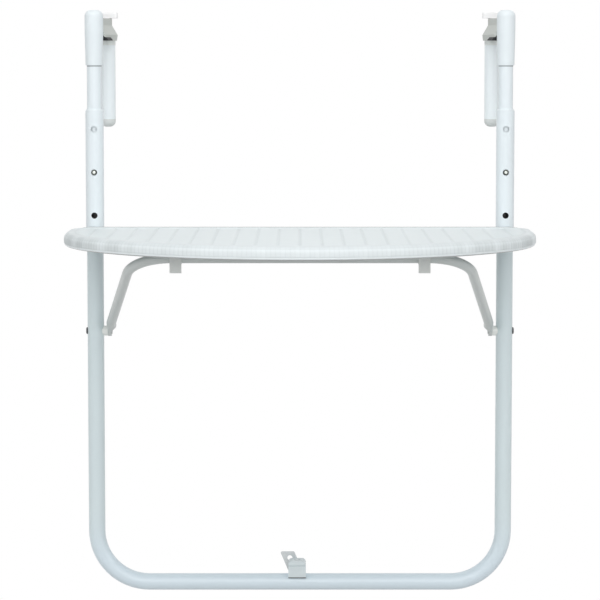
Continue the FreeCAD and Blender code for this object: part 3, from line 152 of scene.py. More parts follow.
class Finish:
    """A material, whose node method adds all of its nodes."""

    def __init__(self, name, colour, roughness, metallic=0.0):
        self.material = bpy.data.materials.new(name)
        self.material.use_nodes = True
        self.tree = self.material.node_tree
        self.shader = self.tree.nodes["Principled BSDF"]
        self.set("Base Color", (*colour, 1))
        self.set("Roughness", roughness)
        self.set("Metallic", metallic)

    def node(self, kind, settings=None, sockets=None, output=0):
        """Adds a node of a kind with its settings first, then its sockets' values or links."""
        made = self.tree.nodes.new(kind)
        for key, setting in (settings or {}).items():
            if key == "stops":
                elements = made.color_ramp.elements
                for element, (position, colour) in zip(elements, setting):
                    element.position = position
                    element.color = (*colour, 1)
            else:
                setattr(made, key, setting)
        for key, given in (sockets or {}).items():
            self.feed(made.inputs[key], given)
        return Wire(self, made.outputs[output])

    def feed(self, socket, given):
        """Gives a socket a link or a value of its own."""
        if isinstance(given, Wire):
            self.tree.links.new(given.socket, socket)
        else:
            socket.default_value = given

    def set(self, name, given):
        """Gives one of the shader's own sockets a link or a value."""
        self.feed(self.shader.inputs[name], given)

    def place(self):
        """Object coordinates, which are metres of the table's own frame."""
        return self.node("ShaderNodeTexCoord", output=3)

    def axes(self):
        """The three object coordinates, each as a number: across, deep and up."""
        split = self.node("ShaderNodeSeparateXYZ", None, {"Vector": self.place()})
        return [Wire(self, split.socket.node.outputs[index]) for index in range(3)]

    def fade(self, value, start, end, most=1.0):
        """Falls smoothly from its most to 0 while the value goes from start to end."""
        sockets = {"Value": value, "From Min": start, "From Max": end, "To Min": most, "To Max": 0.0}
        return self.node("ShaderNodeMapRange", {"interpolation_type": "SMOOTHSTEP"}, sockets)

    def noise(self, scale, detail=2.0, stretch=(1, 1, 1)):
        """Soft noise from 0 to 1, with about scale lumps per metre, stretched along the axes."""
        where = self.node("ShaderNodeMapping", None, {"Vector": self.place(), "Scale": stretch})
        sockets = {"Vector": where, "Scale": scale, "Detail": detail}
        return self.node("ShaderNodeTexNoise", None, sockets)

    def bump(self, height, distance):
        """Tilts the surface as relief of that distance in metres would."""
        self.set("Normal", self.node("ShaderNodeBump", None, {"Height": height, "Distance": distance}))

    def tint(self, mask, low, high):
        """Goes from the colour low to the colour high where the mask goes from 0 to 1."""
        stops = [(0, low), (1, high)]
        self.colour = self.node("ShaderNodeValToRGB", {"stops": stops}, {"Fac": mask})
        self.set("Base Color", self.colour)

    def patch(self, mask, colour):
        """Lays another colour over the present one where the mask is 1."""
        sockets = {0: mask, 6: self.colour, 7: (*colour, 1)}
        self.colour = self.node("ShaderNodeMix", {"data_type": "RGBA"}, sockets, 2)
        self.set("Base Color", self.colour)


def stage_material():
    """Pale matte paint that the camera and mirrors see as plain white. Under the table a share of the lit
    paint itself shows, with the table's shadow on it, and falls to none at the outer radius."""
    finish = Finish("studio_white", STAGE_PAINT, STAGE_ROUGHNESS)
    direct = finish.node("ShaderNodeLightPath")
    mirrored = Wire(finish, direct.socket.node.outputs["Is Glossy Ray"])
    x, y = finish.axes()[:2]
    away = (x * x + y * y) ** 0.5
    share = finish.fade(away, SHADOW_INNER, SHADOW_OUTER, SHADOW_SHARE)
    seen = direct.maths("MAXIMUM", mirrored) * (1 - share)
    white = finish.node("ShaderNodeEmission", None, {"Color": WHITE, "Strength": WHITE_TO_CAMERA})
    paint = Wire(finish, finish.shader.outputs[0])
    mixed = finish.node("ShaderNodeMixShader", None, {0: seen, 1: paint, 2: white})
    finish.feed(finish.tree.nodes["Material Output"].inputs["Surface"], mixed)
    return finish.material


def grid_faces(rows, columns, ring_rows=False, ring_columns=False):
    """Quads between neighbouring points of a grid, going round where a direction is closed."""
    row = np.arange(rows if ring_rows else rows - 1)
    column = np.arange(columns if ring_columns else columns - 1)
    i, j = (a.ravel() for a in np.meshgrid(row, column, indexing="ij"))
    below, right = (i + 1) % rows, (j + 1) % columns
    corners = [i * columns + j, below * columns + j, below * columns + right, i * columns + right]
    return np.stack(corners, axis=1)


def floor_mesh():
    """A square grid of quads, flat at the floor's height."""
    line = np.linspace(-FLOOR_HALF, FLOOR_HALF, FLOOR_POINTS)
    x, y = np.meshgrid(line, line, indexing="ij")
    points = np.stack([x, y, np.full_like(x, FLOOR)], axis=-1).reshape(-1, 3)
    mesh = bpy.data.meshes.new("studio_floor")
    mesh.from_pydata(points.tolist(), [], grid_faces(FLOOR_POINTS, FLOOR_POINTS).tolist())
    return mesh


def lamp(name, place, width, power):
    """A square soft lamp at a place, turned to face the lamps' aim."""
    data = bpy.data.lights.new(name, "AREA")
    data.size = width
    data.energy = power
    made = add_object(name, data)
    made.location = place
    away = np.array(place) - np.array(LAMP_AIM)
    flat = math.hypot(away[0], away[1])
    made.rotation_euler = (math.atan2(flat, away[2]), 0, math.atan2(away[1], away[0]) + math.pi / 2)


floor = add_object("studio_floor", floor_mesh())
floor.data.materials.append(stage_material())

# The backdrop is the world: an even dim light on the table, white to the camera and in reflections.
world = bpy.data.worlds.new("studio")
world.use_nodes = True
bpy.context.scene.world = world
sky = world.node_tree
backdrop = sky.nodes["Background"]
backdrop.inputs["Color"].default_value = WHITE
ray = sky.nodes.new("ShaderNodeLightPath")
seen = sky.nodes.new("ShaderNodeMath")
seen.operation = "MAXIMUM"
strength = sky.nodes.new("ShaderNodeMapRange")
strength.inputs["To Min"].default_value = AMBIENT
strength.inputs["To Max"].default_value = WHITE_TO_CAMERA
sky.links.new(ray.outputs["Is Camera Ray"], seen.inputs[0])
sky.links.new(ray.outputs["Is Glossy Ray"], seen.inputs[1])
sky.links.new(seen.outputs[0], strength.inputs["Value"])
sky.links.new(strength.outputs[0], backdrop.inputs["Strength"])

for name, (place, width, power) in LAMPS.items():
    lamp(name, place, width, power)

# The lamp behind lights the back alone, without its glare on the table's top.
bpy.data.objects["lamp_behind"].visible_glossy = False

# The steel tubes: bent frame, posts, masts, rear arms and brace. Thin-walled mild steel, powder coated
# white, with the coat's slight orange peel. The hinge tabs are welded to the posts and coated with them.
SIDES = ("left", "right")
WHITE_COAT = (0.80, 0.87, 0.905)
ARM_LIT_COAT = (0.90, 0.965, 1.0)
BRACE_SHADED_COAT = (0.61, 0.65, 0.64)
COAT_ROUGHNESS = 0.34
COAT_UNEVEN = 0.08
COAT_GLAZE = 0.25
GLAZE_ROUGHNESS = 0.18
PEEL_PER_METRE = 420
PEEL_GRAIN_PER_METRE = 2600
PEEL_GRAIN_SHARE = 0.2
PEEL_RELIEF = 0.00006
COAT_CLOUDS_PER_METRE = 14
COAT_TINTS = (0.97, 1.02)


def shaded(colour, share):
    """The colour times a share, with no part of it above 1."""
    return tuple(min(1, part * share) for part in colour)


def powder_coat(name, colour):
    """Sprayed powder, melted on: faint waves a few millimetres apart and a grain finer than that."""
    finish = Finish(name, colour, COAT_ROUGHNESS)
    peel = finish.noise(PEEL_PER_METRE)
    grain = finish.noise(PEEL_GRAIN_PER_METRE, detail=1.0)
    finish.bump(peel * (1 - PEEL_GRAIN_SHARE) + grain * PEEL_GRAIN_SHARE, PEEL_RELIEF)
    cloudy = finish.noise(COAT_CLOUDS_PER_METRE, detail=3.0)
    finish.tint(cloudy, shaded(colour, COAT_TINTS[0]), shaded(colour, COAT_TINTS[1]))
    finish.set("Roughness", cloudy * COAT_UNEVEN + (COAT_ROUGHNESS - COAT_UNEVEN / 2))
    finish.set("Coat Weight", COAT_GLAZE)
    finish.set("Coat Roughness", GLAZE_ROUGHNESS)
    return finish


def dress(finish, *names):
    """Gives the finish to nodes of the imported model, which keep their own meshes."""
    for name in names:
        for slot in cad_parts[name].material_slots:
            slot.material = finish.material


def both(*names):
    """The names of the left and right piece of each kind."""
    return [f"{name}_{side}" for name in names for side in SIDES]


# The posts: wide upper tubes sleeved over the frame's legs, in which the masts slide. Inside they are
# painted near black: painted shade in the tubes' bores.
POST_SIDE = 0.2795
POST_BORE = 0.0117
BORE_SHADE_COLOUR = (0.012, 0.0125, 0.0125)
post_coat = powder_coat("post_powder_coat", WHITE_COAT)
across, deep = post_coat.axes()[:2]
from_axis = abs(across) - POST_SIDE
squared = from_axis * from_axis + (deep - POST_PLANE) * (deep - POST_PLANE)
post_coat.patch(squared < POST_BORE ** 2, BORE_SHADE_COLOUR)
dress(post_coat, *both("post_tube"))

# The masts: narrower tubes, which slide in the posts and carry the caps. A dark band round each mast just
# under its cap is painted shadow of the cap's overhang.
CAP_SHADOW_BAND = (-0.0358, -0.0341)
CAP_SHADOW_COLOUR = (0.42, 0.46, 0.48)
mast_coat = powder_coat("mast_powder_coat", WHITE_COAT)
up = mast_coat.axes()[2]
mast_coat.patch((up > CAP_SHADOW_BAND[0]) * (up < CAP_SHADOW_BAND[1]), CAP_SHADOW_COLOUR)
dress(mast_coat, *both("mast_tube"))

# The frame: one tube bent to both legs and the bottom bar. The bar has taken a bluer coat than the legs,
# which fades out in the bends and just above them.
LEG_COAT = (0.71, 0.81, 0.835)
BAR_COAT = (0.71, 0.815, 0.88)
BAR_REACH = (0.03, 0.12)
frame_coat = powder_coat("frame_powder_coat", LEG_COAT)
up = frame_coat.axes()[2]
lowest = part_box("u_frame")[0][2]
frame_coat.patch(frame_coat.fade(up, lowest + BAR_REACH[0], lowest + BAR_REACH[1]), BAR_COAT)
dress(frame_coat, "u_frame")

# The rear arms behind the rail and the tabs of the top's hinge are white. The arms are coloured lighter
# than the posts: painted light against the shade of the caps and bridges beside them. The thin brace bar is
# coloured greyer: painted shade of the table above it.
dress(powder_coat("arm_coat_painted_light", ARM_LIT_COAT), *both("rear_arm"))
dress(powder_coat("tab_powder_coat", WHITE_COAT), *both("hinge_tab"))
dress(powder_coat("brace_coat_painted_shade", BRACE_SHADED_COAT), "brace_bar")

# The moulded plastic pieces: caps, bushes, bridges, plugs, end caps, clips, knobs and the bracket block.
# They are injection moulded, with a fine spark-eroded grain.
GRAIN_PER_METRE = 3200
GRAIN_RELIEF = 0.00004
FLOW_PER_METRE = 30
FLOW_TINTS = (0.96, 1.03)
MOULDING_UNEVEN = 0.1
CAP_PLASTIC = (0.81, 0.875, 0.905)
CAP_ROUGHNESS = 0.4

# The material, colour and roughness of each pair of pieces that has no edge of painted shade.
PAIRS_WITHOUT_DARK_EDGE = {
    "hook_cap": ("cap_moulding", CAP_PLASTIC, CAP_ROUGHNESS),
    "spacer_bush": ("bush_moulding", (0.88, 0.905, 0.88), 0.45),
    "rail_bridge": ("bridge_moulding", (0.575, 0.605, 0.575), 0.5),
    "arm_plug": ("plug_moulding", (0.85, 0.88, 0.865), 0.5),
    "arm_end_cap": ("end_cap_moulding", (0.73, 0.765, 0.755), 0.45),
    "bar_clip": ("clip_moulding", (0.73, 0.755, 0.735), 0.5),
}


def moulded_plastic(name, colour, roughness):
    """A pale moulding with a grain of about a third of a millimetre and faint flow clouds."""
    finish = Finish(name, colour, roughness)
    finish.bump(finish.noise(GRAIN_PER_METRE), GRAIN_RELIEF)
    flow = finish.noise(FLOW_PER_METRE, detail=3.0)
    finish.tint(flow, shaded(colour, FLOW_TINTS[0]), shaded(colour, FLOW_TINTS[1]))
    finish.set("Roughness", flow * MOULDING_UNEVEN + (roughness - MOULDING_UNEVEN / 2))
    return finish


for piece, (material, colour, roughness) in PAIRS_WITHOUT_DARK_EDGE.items():
    dress(moulded_plastic(material, colour, roughness), *both(piece))

# The clamp knobs: smooth white mouldings on the clamp screws, on top of the hooks. Their lower rims are
# painted dark: painted shade at the knobs' foot.
KNOB_PLASTIC = (0.92, 0.92, 0.925)
KNOB_ROUGHNESS = 0.35
KNOB_SHADE_HEIGHT = 0.0008
KNOB_SHADE_COLOUR = (0.50, 0.50, 0.49)
knob_finish = moulded_plastic("knob_moulding", KNOB_PLASTIC, KNOB_ROUGHNESS)
up = knob_finish.axes()[2]
knob_finish.patch(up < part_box("clamp_knob_left")[0][2] + KNOB_SHADE_HEIGHT, KNOB_SHADE_COLOUR)
dress(knob_finish, *both("clamp_knob"))

# The bracket block: a saddle screwed to the bottom bar. Its foot, where it beds on the bar, has a thin dark
# edge of painted shadow.
BLOCK_PLASTIC = (0.69, 0.765, 0.785)
BLOCK_ROUGHNESS = 0.45
BLOCK_SHADE_HEIGHT = 0.0014
BLOCK_FOOT_SHADE = (0.22, 0.24, 0.24)
block_finish = moulded_plastic("block_moulding", BLOCK_PLASTIC, BLOCK_ROUGHNESS)
up = block_finish.axes()[2]
block_finish.patch(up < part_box("bracket_block")[0][2] + BLOCK_SHADE_HEIGHT, BLOCK_FOOT_SHADE)
dress(block_finish, "bracket_block")

# The small metal pieces: screws, rivets, pins, buttons and the tie plate. They are zinc-plated steel, with
# fine rubbed streaks.
ZINC = (0.60, 0.63, 0.64)
ZINC_ROUGHNESS = 0.3
STREAKS_PER_METRE = 300
STREAK_STRETCH = (0.15, 1, 1)
STREAK_RELIEF = 0.00003
SPOTS_PER_METRE = 900
SPOT_SHADE = 0.85
STREAK_UNEVEN = 0.15
SPOT_UNEVEN = 0.1


def plated_steel(name, colour, roughness):
    """Bright plating with streaks along X that are long and thin."""
    finish = Finish(name, colour, roughness, 1.0)
    streaks = finish.noise(STREAKS_PER_METRE, detail=3.0, stretch=STREAK_STRETCH)
    spots = finish.noise(SPOTS_PER_METRE)
    finish.bump(streaks, STREAK_RELIEF)
    finish.set("Roughness", streaks * STREAK_UNEVEN + spots * SPOT_UNEVEN + (roughness - SPOT_UNEVEN))
    finish.tint(spots, shaded(colour, SPOT_SHADE), colour)
    return finish


zinc = plated_steel("zinc_plate", ZINC, ZINC_ROUGHNESS)
dress(zinc, "clip_screws", "block_screw", "tie_plate", "tie_rivet")
dress(zinc, *both("hinge_pin", "bridge_pin", "clamp_screw"))

# The height buttons: steel domes on the leaf springs, which snap into the posts' holes. Each keeps its
# plated colour in the middle, and its rounded edge is painted near black: painted shade of the dark hole
# round it.
BUTTON_STEEL = (0.62, 0.65, 0.62)
BUTTON_ROUGHNESS = 0.28
BUTTON_UNSHADED_RADIUS = 0.0019
BUTTON_EDGE_SHADE = (0.13, 0.14, 0.125)
button_steel = plated_steel("button_steel", BUTTON_STEEL, BUTTON_ROUGHNESS)
low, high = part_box("height_button_left")
level = (low[2] + high[2]) / 2
across, up = button_steel.axes()[::2]
from_axis = abs(across) - POST_SIDE
squared = from_axis * from_axis + (up - level) * (up - level)
button_steel.patch(squared > BUTTON_UNSHADED_RADIUS ** 2, BUTTON_EDGE_SHADE)
dress(button_steel, *both("height_button"))

# The rivets at the brace's pivots: blackened steel, set through the legs. Their inner ends are painted
# over with the brace.
BLACKENED = (0.10, 0.10, 0.105)
BLACKENED_ROUGHNESS = 0.4
rivet = plated_steel("dark_rivet", BLACKENED, BLACKENED_ROUGHNESS)
painted = abs(rivet.axes()[0]) < POST_SIDE
# The inner ends take the brace's colour, with its painted shade.
rivet.patch(painted, BRACE_SHADED_COAT)
rivet.set("Metallic", 1 - painted)
dress(rivet, *both("pivot_rivet"))

# The buttons' leaf springs: spring steel strips folded in a V inside the masts. In the table the front leg
# of each goes back with its button and the leg behind stays against the mast; these copies keep their rest
# shape.
SPRING_STEEL = (0.45, 0.46, 0.48)
SPRING_ROUGHNESS = 0.35
MERGE_DISTANCE = 1e-6
SHARP_ANGLE = math.radians(30)


def merged_copy(node, name, finish):
    """A new object with a copy of the node's mesh, its doubled points merged and its faces smooth."""
    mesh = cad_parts[node].data.copy()
    shape = bmesh.new()
    shape.from_mesh(mesh)
    bmesh.ops.remove_doubles(shape, verts=shape.verts, dist=MERGE_DISTANCE)
    shape.to_mesh(mesh)
    shape.free()
    mesh.polygons.foreach_set("use_smooth", np.ones(len(mesh.polygons), dtype=bool))
    mesh.set_sharp_from_angle(angle=SHARP_ANGLE)
    mesh.materials.clear()
    mesh.materials.append(finish.material)
    return add_object(name, mesh)


leaf_steel = plated_steel("leaf_spring_steel", SPRING_STEEL, SPRING_ROUGHNESS)
for side in SIDES:
    spring = merged_copy(f"button_spring_{side}", f"leaf_spring_{side}", leaf_steel)
    low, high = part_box(f"button_spring_{side}")
    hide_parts(f"button_spring_{side}")
    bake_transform(spring)

# The guide bushes: moulded sleeves pressed into the posts' upper ends. The points of a bush's foot are
# raised, so that it ends above the post's top hole and the button can come out there.
BUSH_SHORTENED = 0.0045
BUSH_FOOT = 0.0005


def mesh_points(mesh):
    """A mesh's points as an array of rows."""
    points = np.empty(3 * len(mesh.vertices))
    mesh.vertices.foreach_get("co", points)
    return points.reshape(-1, 3)


guide_plastic = moulded_plastic("guide_moulding", CAP_PLASTIC, CAP_ROUGHNESS)
for side in SIDES:
    sleeve = merged_copy(f"guide_bush_{side}", f"guide_sleeve_{side}", guide_plastic)
    points = mesh_points(sleeve.data)
    points[points[:, 2] < points[:, 2].min() + BUSH_FOOT, 2] += BUSH_SHORTENED
    sleeve.data.vertices.foreach_set("co", points.ravel())
    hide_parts(f"guide_bush_{side}")
    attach(sleeve, "frame")

# The rail pads: black rubber pressed into the bridges, which rests on the handrail. It is matte and
# slightly mottled.
RUBBER_DARK = (0.016, 0.016, 0.018)
RUBBER_PALE = (0.035, 0.035, 0.038)
RUBBER_ROUGHNESS = 0.7
RUBBER_GRAIN_PER_METRE = 1800
RUBBER_MOTTLE_PER_METRE = 90
RUBBER_RELIEF = 0.00008
pad = Finish("pad_rubber", RUBBER_DARK, RUBBER_ROUGHNESS)
pad.bump(pad.noise(RUBBER_GRAIN_PER_METRE), RUBBER_RELIEF)
pad.tint(pad.noise(RUBBER_MOTTLE_PER_METRE, detail=3.0), RUBBER_DARK, RUBBER_PALE)
dress(pad, *both("rail_pad"))

# The table top: one moulding of pale plastic with ribs below, made to look like woven cane. In plan it has
# a straight back and a front of three arcs. Its skirt rolls inwards at the lower edge, except at the back.
TABLE_PLASTIC = (0.79, 0.84, 0.85)
TABLE_ROUGHNESS = 0.42
TOP_HALF = 0.312
TOP_BACK = -0.054
TOP_FACE = -0.2543
BACK_CORNER = 0.030
FRONT_RADIUS = 0.337
FRONT_CENTRE = -0.051
SHOULDER_RADIUS = 0.215
SHOULDER_SIDE = TOP_HALF - SHOULDER_RADIUS
SHOULDER_CENTRE = FRONT_CENTRE - math.sqrt((FRONT_RADIUS - SHOULDER_RADIUS) ** 2 - SHOULDER_SIDE ** 2)
ROLL_START = 0.0118
ROLL_RADIUS = 0.0052
ROLL_INSET = 0.006
ROLL_FADE = 0.006
SKIRT_TURN = 0.010
TINY = 1e-9


def inset_from_edge(x, y):
    """How far points lie inside the plan's sides and front, and the direction outwards there. A point takes
    its distance from the centre of the arc that it faces, or from the straight side beside it."""
    side = np.sign(x)
    lean = SHOULDER_SIDE / (FRONT_CENTRE - SHOULDER_CENTRE)
    ahead = np.abs(x) < (FRONT_CENTRE - y) * lean
    from_x = x - np.where(ahead, 0, side * SHOULDER_SIDE)
    from_y = y - np.where(ahead, FRONT_CENTRE, np.maximum(SHOULDER_CENTRE, y))
    away = np.maximum(np.hypot(from_x, from_y), TINY)
    inset = np.where(ahead, FRONT_RADIUS, SHOULDER_RADIUS) - away
    return inset, np.stack([from_x / away, from_y / away], axis=-1)


def roll_in(y, drop):
    """How far the skirt lies inwards at a depth below the top face: a quarter circle below the roll's
    start, which opens out to the straight skirt of the back."""
    below = np.clip(drop - ROLL_START, 0, ROLL_RADIUS)
    front = np.clip((TOP_BACK - BACK_CORNER - y) / SKIRT_TURN, 0, 1)
    return front * (ROLL_RADIUS - np.sqrt(ROLL_RADIUS ** 2 - below ** 2))


def rolled_moulding(finish):
    """A copy of the moulding, with the points of its skirt moved in by the roll. The move is the same all
    through the wall and fades out behind it."""
    made = merged_copy("table_top", "rolled_moulding", finish)
    points = mesh_points(made.data)
    inset, outward = inset_from_edge(points[:, 0], points[:, 1])
    share = np.clip((ROLL_INSET + ROLL_FADE - inset) / ROLL_FADE, 0, 1)
    move = share * roll_in(points[:, 1], TOP_FACE - points[:, 2])
    points[:, :2] -= outward * move[:, None]
    made.data.vertices.foreach_set("co", points.ravel())
    return made


moulding = rolled_moulding(moulded_plastic("table_moulding", TABLE_PLASTIC, TABLE_ROUGHNESS))
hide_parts("table_top")
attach(moulding, "tabletop")

# The woven field: the flat middle of the top's face, moulded as strands of cane that run from side to side
# under and over stakes. The strands stand about half a millimetre high, with a groove at each stake.
STAKE_PITCH = 0.0274
STAKE_START = 0.0
STAKE_HALF_WIDTH = 0.0018
STAKE_VALLEY = 0.0009
STRAND_PITCH = 0.0060
STRAND_CROWN = 0.0004
STRAND_WAVE = 0.00015
FIELD_INSET = 0.009
FIELD_LIFT = 0.0003
FIELD_DEPTH = 0.0012
FIELD_ROWS = 361
ACROSS_STAKE = STAKE_HALF_WIDTH * np.array([-1.2, -0.6, 0, 0.6, 1.2])
BETWEEN_STAKES = STAKE_PITCH * np.array([0.27, 0.5, 0.73])
END_COLUMNS = 7
END_REACH = 0.0085
END_ROOM = 0.009
CANE_LIGHT = (0.805, 0.87, 0.885)
CANE_DARK = (0.68, 0.735, 0.75)
CANE_UNEVEN = 0.1
CANE_SMOOTHEST = 0.38
CLOUD_SHADE = 0.15
CLOUDS_PER_METRE = 40
# The stripes at the stakes are painted shade of the weave's deep grooves there.
STRIPE_EDGES = (0.04, 0.13)
STRIPE_SHADE = 0.42

# The crook between field and rim is shaded from the first of these insets, and no more at the second.
CROOK = (0.0125, 0.0190)
CROOK_RISE = (2.5, 1.2)
CROOK_MIDDLE = 0.4
CROOK_WEAVE = 0.3


def field_columns():
    """Places along X: five across each stake and three between, and closer ones towards the two ends."""
    half = TOP_HALF - FIELD_INSET
    first = math.floor((-half - STAKE_START) / STAKE_PITCH)
    stakes = STAKE_START + STAKE_PITCH * np.arange(first, -first + 1)
    inner = (stakes[:, None] + np.concatenate([ACROSS_STAKE, BETWEEN_STAKES])[None, :]).ravel()
    inner = inner[np.abs(inner) < half - END_ROOM]
    ends = half - END_REACH * np.linspace(0, 1, END_COLUMNS) ** 2
    return np.sort(np.concatenate([inner, ends, -ends]))


def field_limits(x):
    """The field's front and back edge at each x: the plan's arcs, and its back with the two corners, all
    moved in by the inset."""
    off = np.abs(x)
    small, large = SHOULDER_RADIUS - FIELD_INSET, FRONT_RADIUS - FIELD_INSET
    side = np.clip(small ** 2 - np.clip(off - SHOULDER_SIDE, 0, None) ** 2, 0, None)
    front_arc = FRONT_CENTRE - np.sqrt(large ** 2 - off ** 2)
    touch = SHOULDER_SIDE * large / (FRONT_RADIUS - SHOULDER_RADIUS)
    front = np.where(off < touch, front_arc, SHOULDER_CENTRE - np.sqrt(side))
    corner = BACK_CORNER - FIELD_INSET
    into = np.clip(off - (TOP_HALF - BACK_CORNER), 0, corner)
    return front, TOP_BACK - BACK_CORNER + np.sqrt(corner ** 2 - into ** 2)


def strand_height(x, y):
    """Half-round strands along X. Neighbours pass over and under the stakes in turn, as a cosine with
    its crests one stake apart, and all of them dip into a narrow valley at each stake."""
    across = (y - TOP_BACK) / STRAND_PITCH
    row = np.floor(across)
    crown = np.sqrt(np.clip(1 - (2 * (across - row) - 1) ** 2, 0, 1))
    along = (x - STAKE_START) / STAKE_PITCH
    wave = np.cos(math.pi * (along + row))
    off_stake = np.abs(along - np.round(along)) * STAKE_PITCH / STAKE_HALF_WIDTH
    valley = np.clip(1 - off_stake ** 2, 0, 1) ** 2
    return STRAND_CROWN * crown + STRAND_WAVE * wave * crown - STAKE_VALLEY * valley


def woven_field():
    """Columns from the field's front edge to its back edge, at the strands' height. A skirt of quads goes
    down from the outline to one flat underside inside the moulding's skin, which closes it."""
    x = field_columns()
    front, back = field_limits(x)
    share = np.linspace(0, 1, FIELD_ROWS)
    y = front[None, :] + share[:, None] * (back - front)[None, :]
    wide = np.broadcast_to(x, y.shape)
    z = TOP_FACE + FIELD_LIFT + strand_height(wide, y)
    upper = np.stack([wide, y, z], axis=-1).reshape(-1, 3)
    columns = len(x)
    faces = grid_faces(FIELD_ROWS, columns)[:, ::-1].tolist()
    front_row = np.arange(columns)
    right_side = np.arange(1, FIELD_ROWS) * columns + columns - 1
    back_row = (FIELD_ROWS - 1) * columns + np.arange(columns - 2, -1, -1)
    left_side = np.arange(FIELD_ROWS - 2, 0, -1) * columns
    outline = np.concatenate([front_row, right_side, back_row, left_side])
    lower = upper[outline].copy()
    lower[:, 2] = TOP_FACE - FIELD_DEPTH
    start = len(upper)
    step = np.arange(len(outline))
    after = (step + 1) % len(outline)
    faces += np.stack([outline, start + step, start + after, outline[after]], axis=1).tolist()
    faces.append((start + step[::-1]).tolist())
    return np.concatenate([upper, lower]), faces


def mesh_object(name, points, faces, finish, shade):
    """An object at the origin with its place in its mesh, and a shade from 0 to 1 at each point."""
    mesh = bpy.data.meshes.new(name)
    mesh.from_pydata(points.tolist(), [], faces)
    mesh.polygons.foreach_set("use_smooth", np.ones(len(faces), dtype=bool))
    mesh.attributes.new("shade", "FLOAT", "POINT").data.foreach_set("value", shade)
    mesh.materials.append(finish.material)
    return add_object(name, mesh)


def cane_look(name, light, dark, stripes):
    """Pale moulded plastic, darker by the shade of its points, and at the stakes, where it has stripes, by
    painted shade of the weave's deep grooves.
    """
    finish = Finish(name, light, TABLE_ROUGHNESS)
    shade = finish.node("ShaderNodeAttribute", {"attribute_name": "shade"}, None, 2)
    along = (finish.axes()[0] - STAKE_START) * (1 / STAKE_PITCH)
    stripe = finish.fade(along.maths("PINGPONG", 0.5), *STRIPE_EDGES)
    cloud = finish.noise(CLOUDS_PER_METRE, detail=3.0)
    finish.tint(stripe * stripes + cloud * CLOUD_SHADE + shade, light, dark)
    finish.bump(finish.noise(GRAIN_PER_METRE), GRAIN_RELIEF)
    finish.set("Roughness", cloud * CANE_UNEVEN + CANE_SMOOTHEST)
    return finish


def towards_ends(x, rise):
    """0 in the table's middle and 1 at its two ends. A rise is a gain and an offset: the gain times the
    distance from the middle, as a share of the half width, less the offset, is cut off at 0 and 1."""
    gain, offset = rise
    return np.clip(gain * np.abs(x) / TOP_HALF - offset, 0, 1)


def crook_shade(points):
    """The shade in the crook between field and rim, which falls evenly to 0 across its width. It is
    stronger towards the two ends, where it comes and goes with the strands."""
    inset = inset_from_edge(points[:, 0], points[:, 1])[0]
    share = np.clip((CROOK[1] - inset) / (CROOK[1] - CROOK[0]), 0, 1)
    weave = 1 - CROOK_WEAVE + CROOK_WEAVE * np.sin(2 * math.pi * points[:, 1] / STRAND_PITCH)
    return share * (CROOK_MIDDLE + (1 - CROOK_MIDDLE) * towards_ends(points[:, 0], CROOK_RISE) * weave)


field_points, field_faces = woven_field()
field_finish = cane_look("cane_moulding", CANE_LIGHT, CANE_DARK, STRIPE_SHADE)
field = mesh_object("woven_field", field_points, field_faces, field_finish, crook_shade(field_points))
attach(field, "tabletop")

# The wrapped rim: the raised edge of the top, moulded as cane wound round it, with a bead below the wraps
# and a low lip along the back. The wraps are worn in the table's middle and stained in bunches at its ends.
RIM_LENGTH = 1.70
WRAP_PITCH = 0.0062
WRAP_CROWN = 0.0004
WRAP_SAMPLES = 8
WRAP_LIGHT = (0.91, 0.97, 0.99)
WRAP_DARK = (0.60, 0.65, 0.66)
RIM_FLAT = TOP_FACE + 0.0009
CREST_CENTRE = (0.0076, TOP_FACE - 0.0072)
CREST_RADIUS = 0.0080
CREST_POINTS = 9
CREST_DEPTH = 0.003
WORN_RELIEF = 0.35
WORN_RISE = (1.4, 0.3)
LIP_INSETS = (0.0142, 0.0010)
LIP_SLOPE = 0.0030
LIP_DEPTH = 0.0005
BACK_LINE = 0.006
BACK_LIP = 0.0011
BACK_SHADE_INSETS = (0.0121, 0.0070)
BACK_SHADE_COLOUR = (0.30, 0.31, 0.31)
LOWER_SHADE_DEPTH = 0.0156
LOWER_SHADE_COLOUR = (0.40, 0.42, 0.42)
# Painted light and shade: the face and the crest are coloured darker than the bead below them, as the
# rounded edge's shading.
FACE_SHADE = 0.30
CREST_SHADE = 0.33
GROOVE_SHADE = 0.35
STAIN_SEED = 4
STAIN_SHADE = 0.2
BUNCH_WRAPS = 2.3
BUNCH_RISE = (2, 0.9)
BUNCH_LEVEL = 0.4
BUNCH_SHADE = 1.1
SIDE_SHADE = 0.3
SIDE_POWER = 6


def arc_length(radius, angles):
    """The radius times the angle between an arc's start and end."""
    return radius * (angles[1] - angles[0])


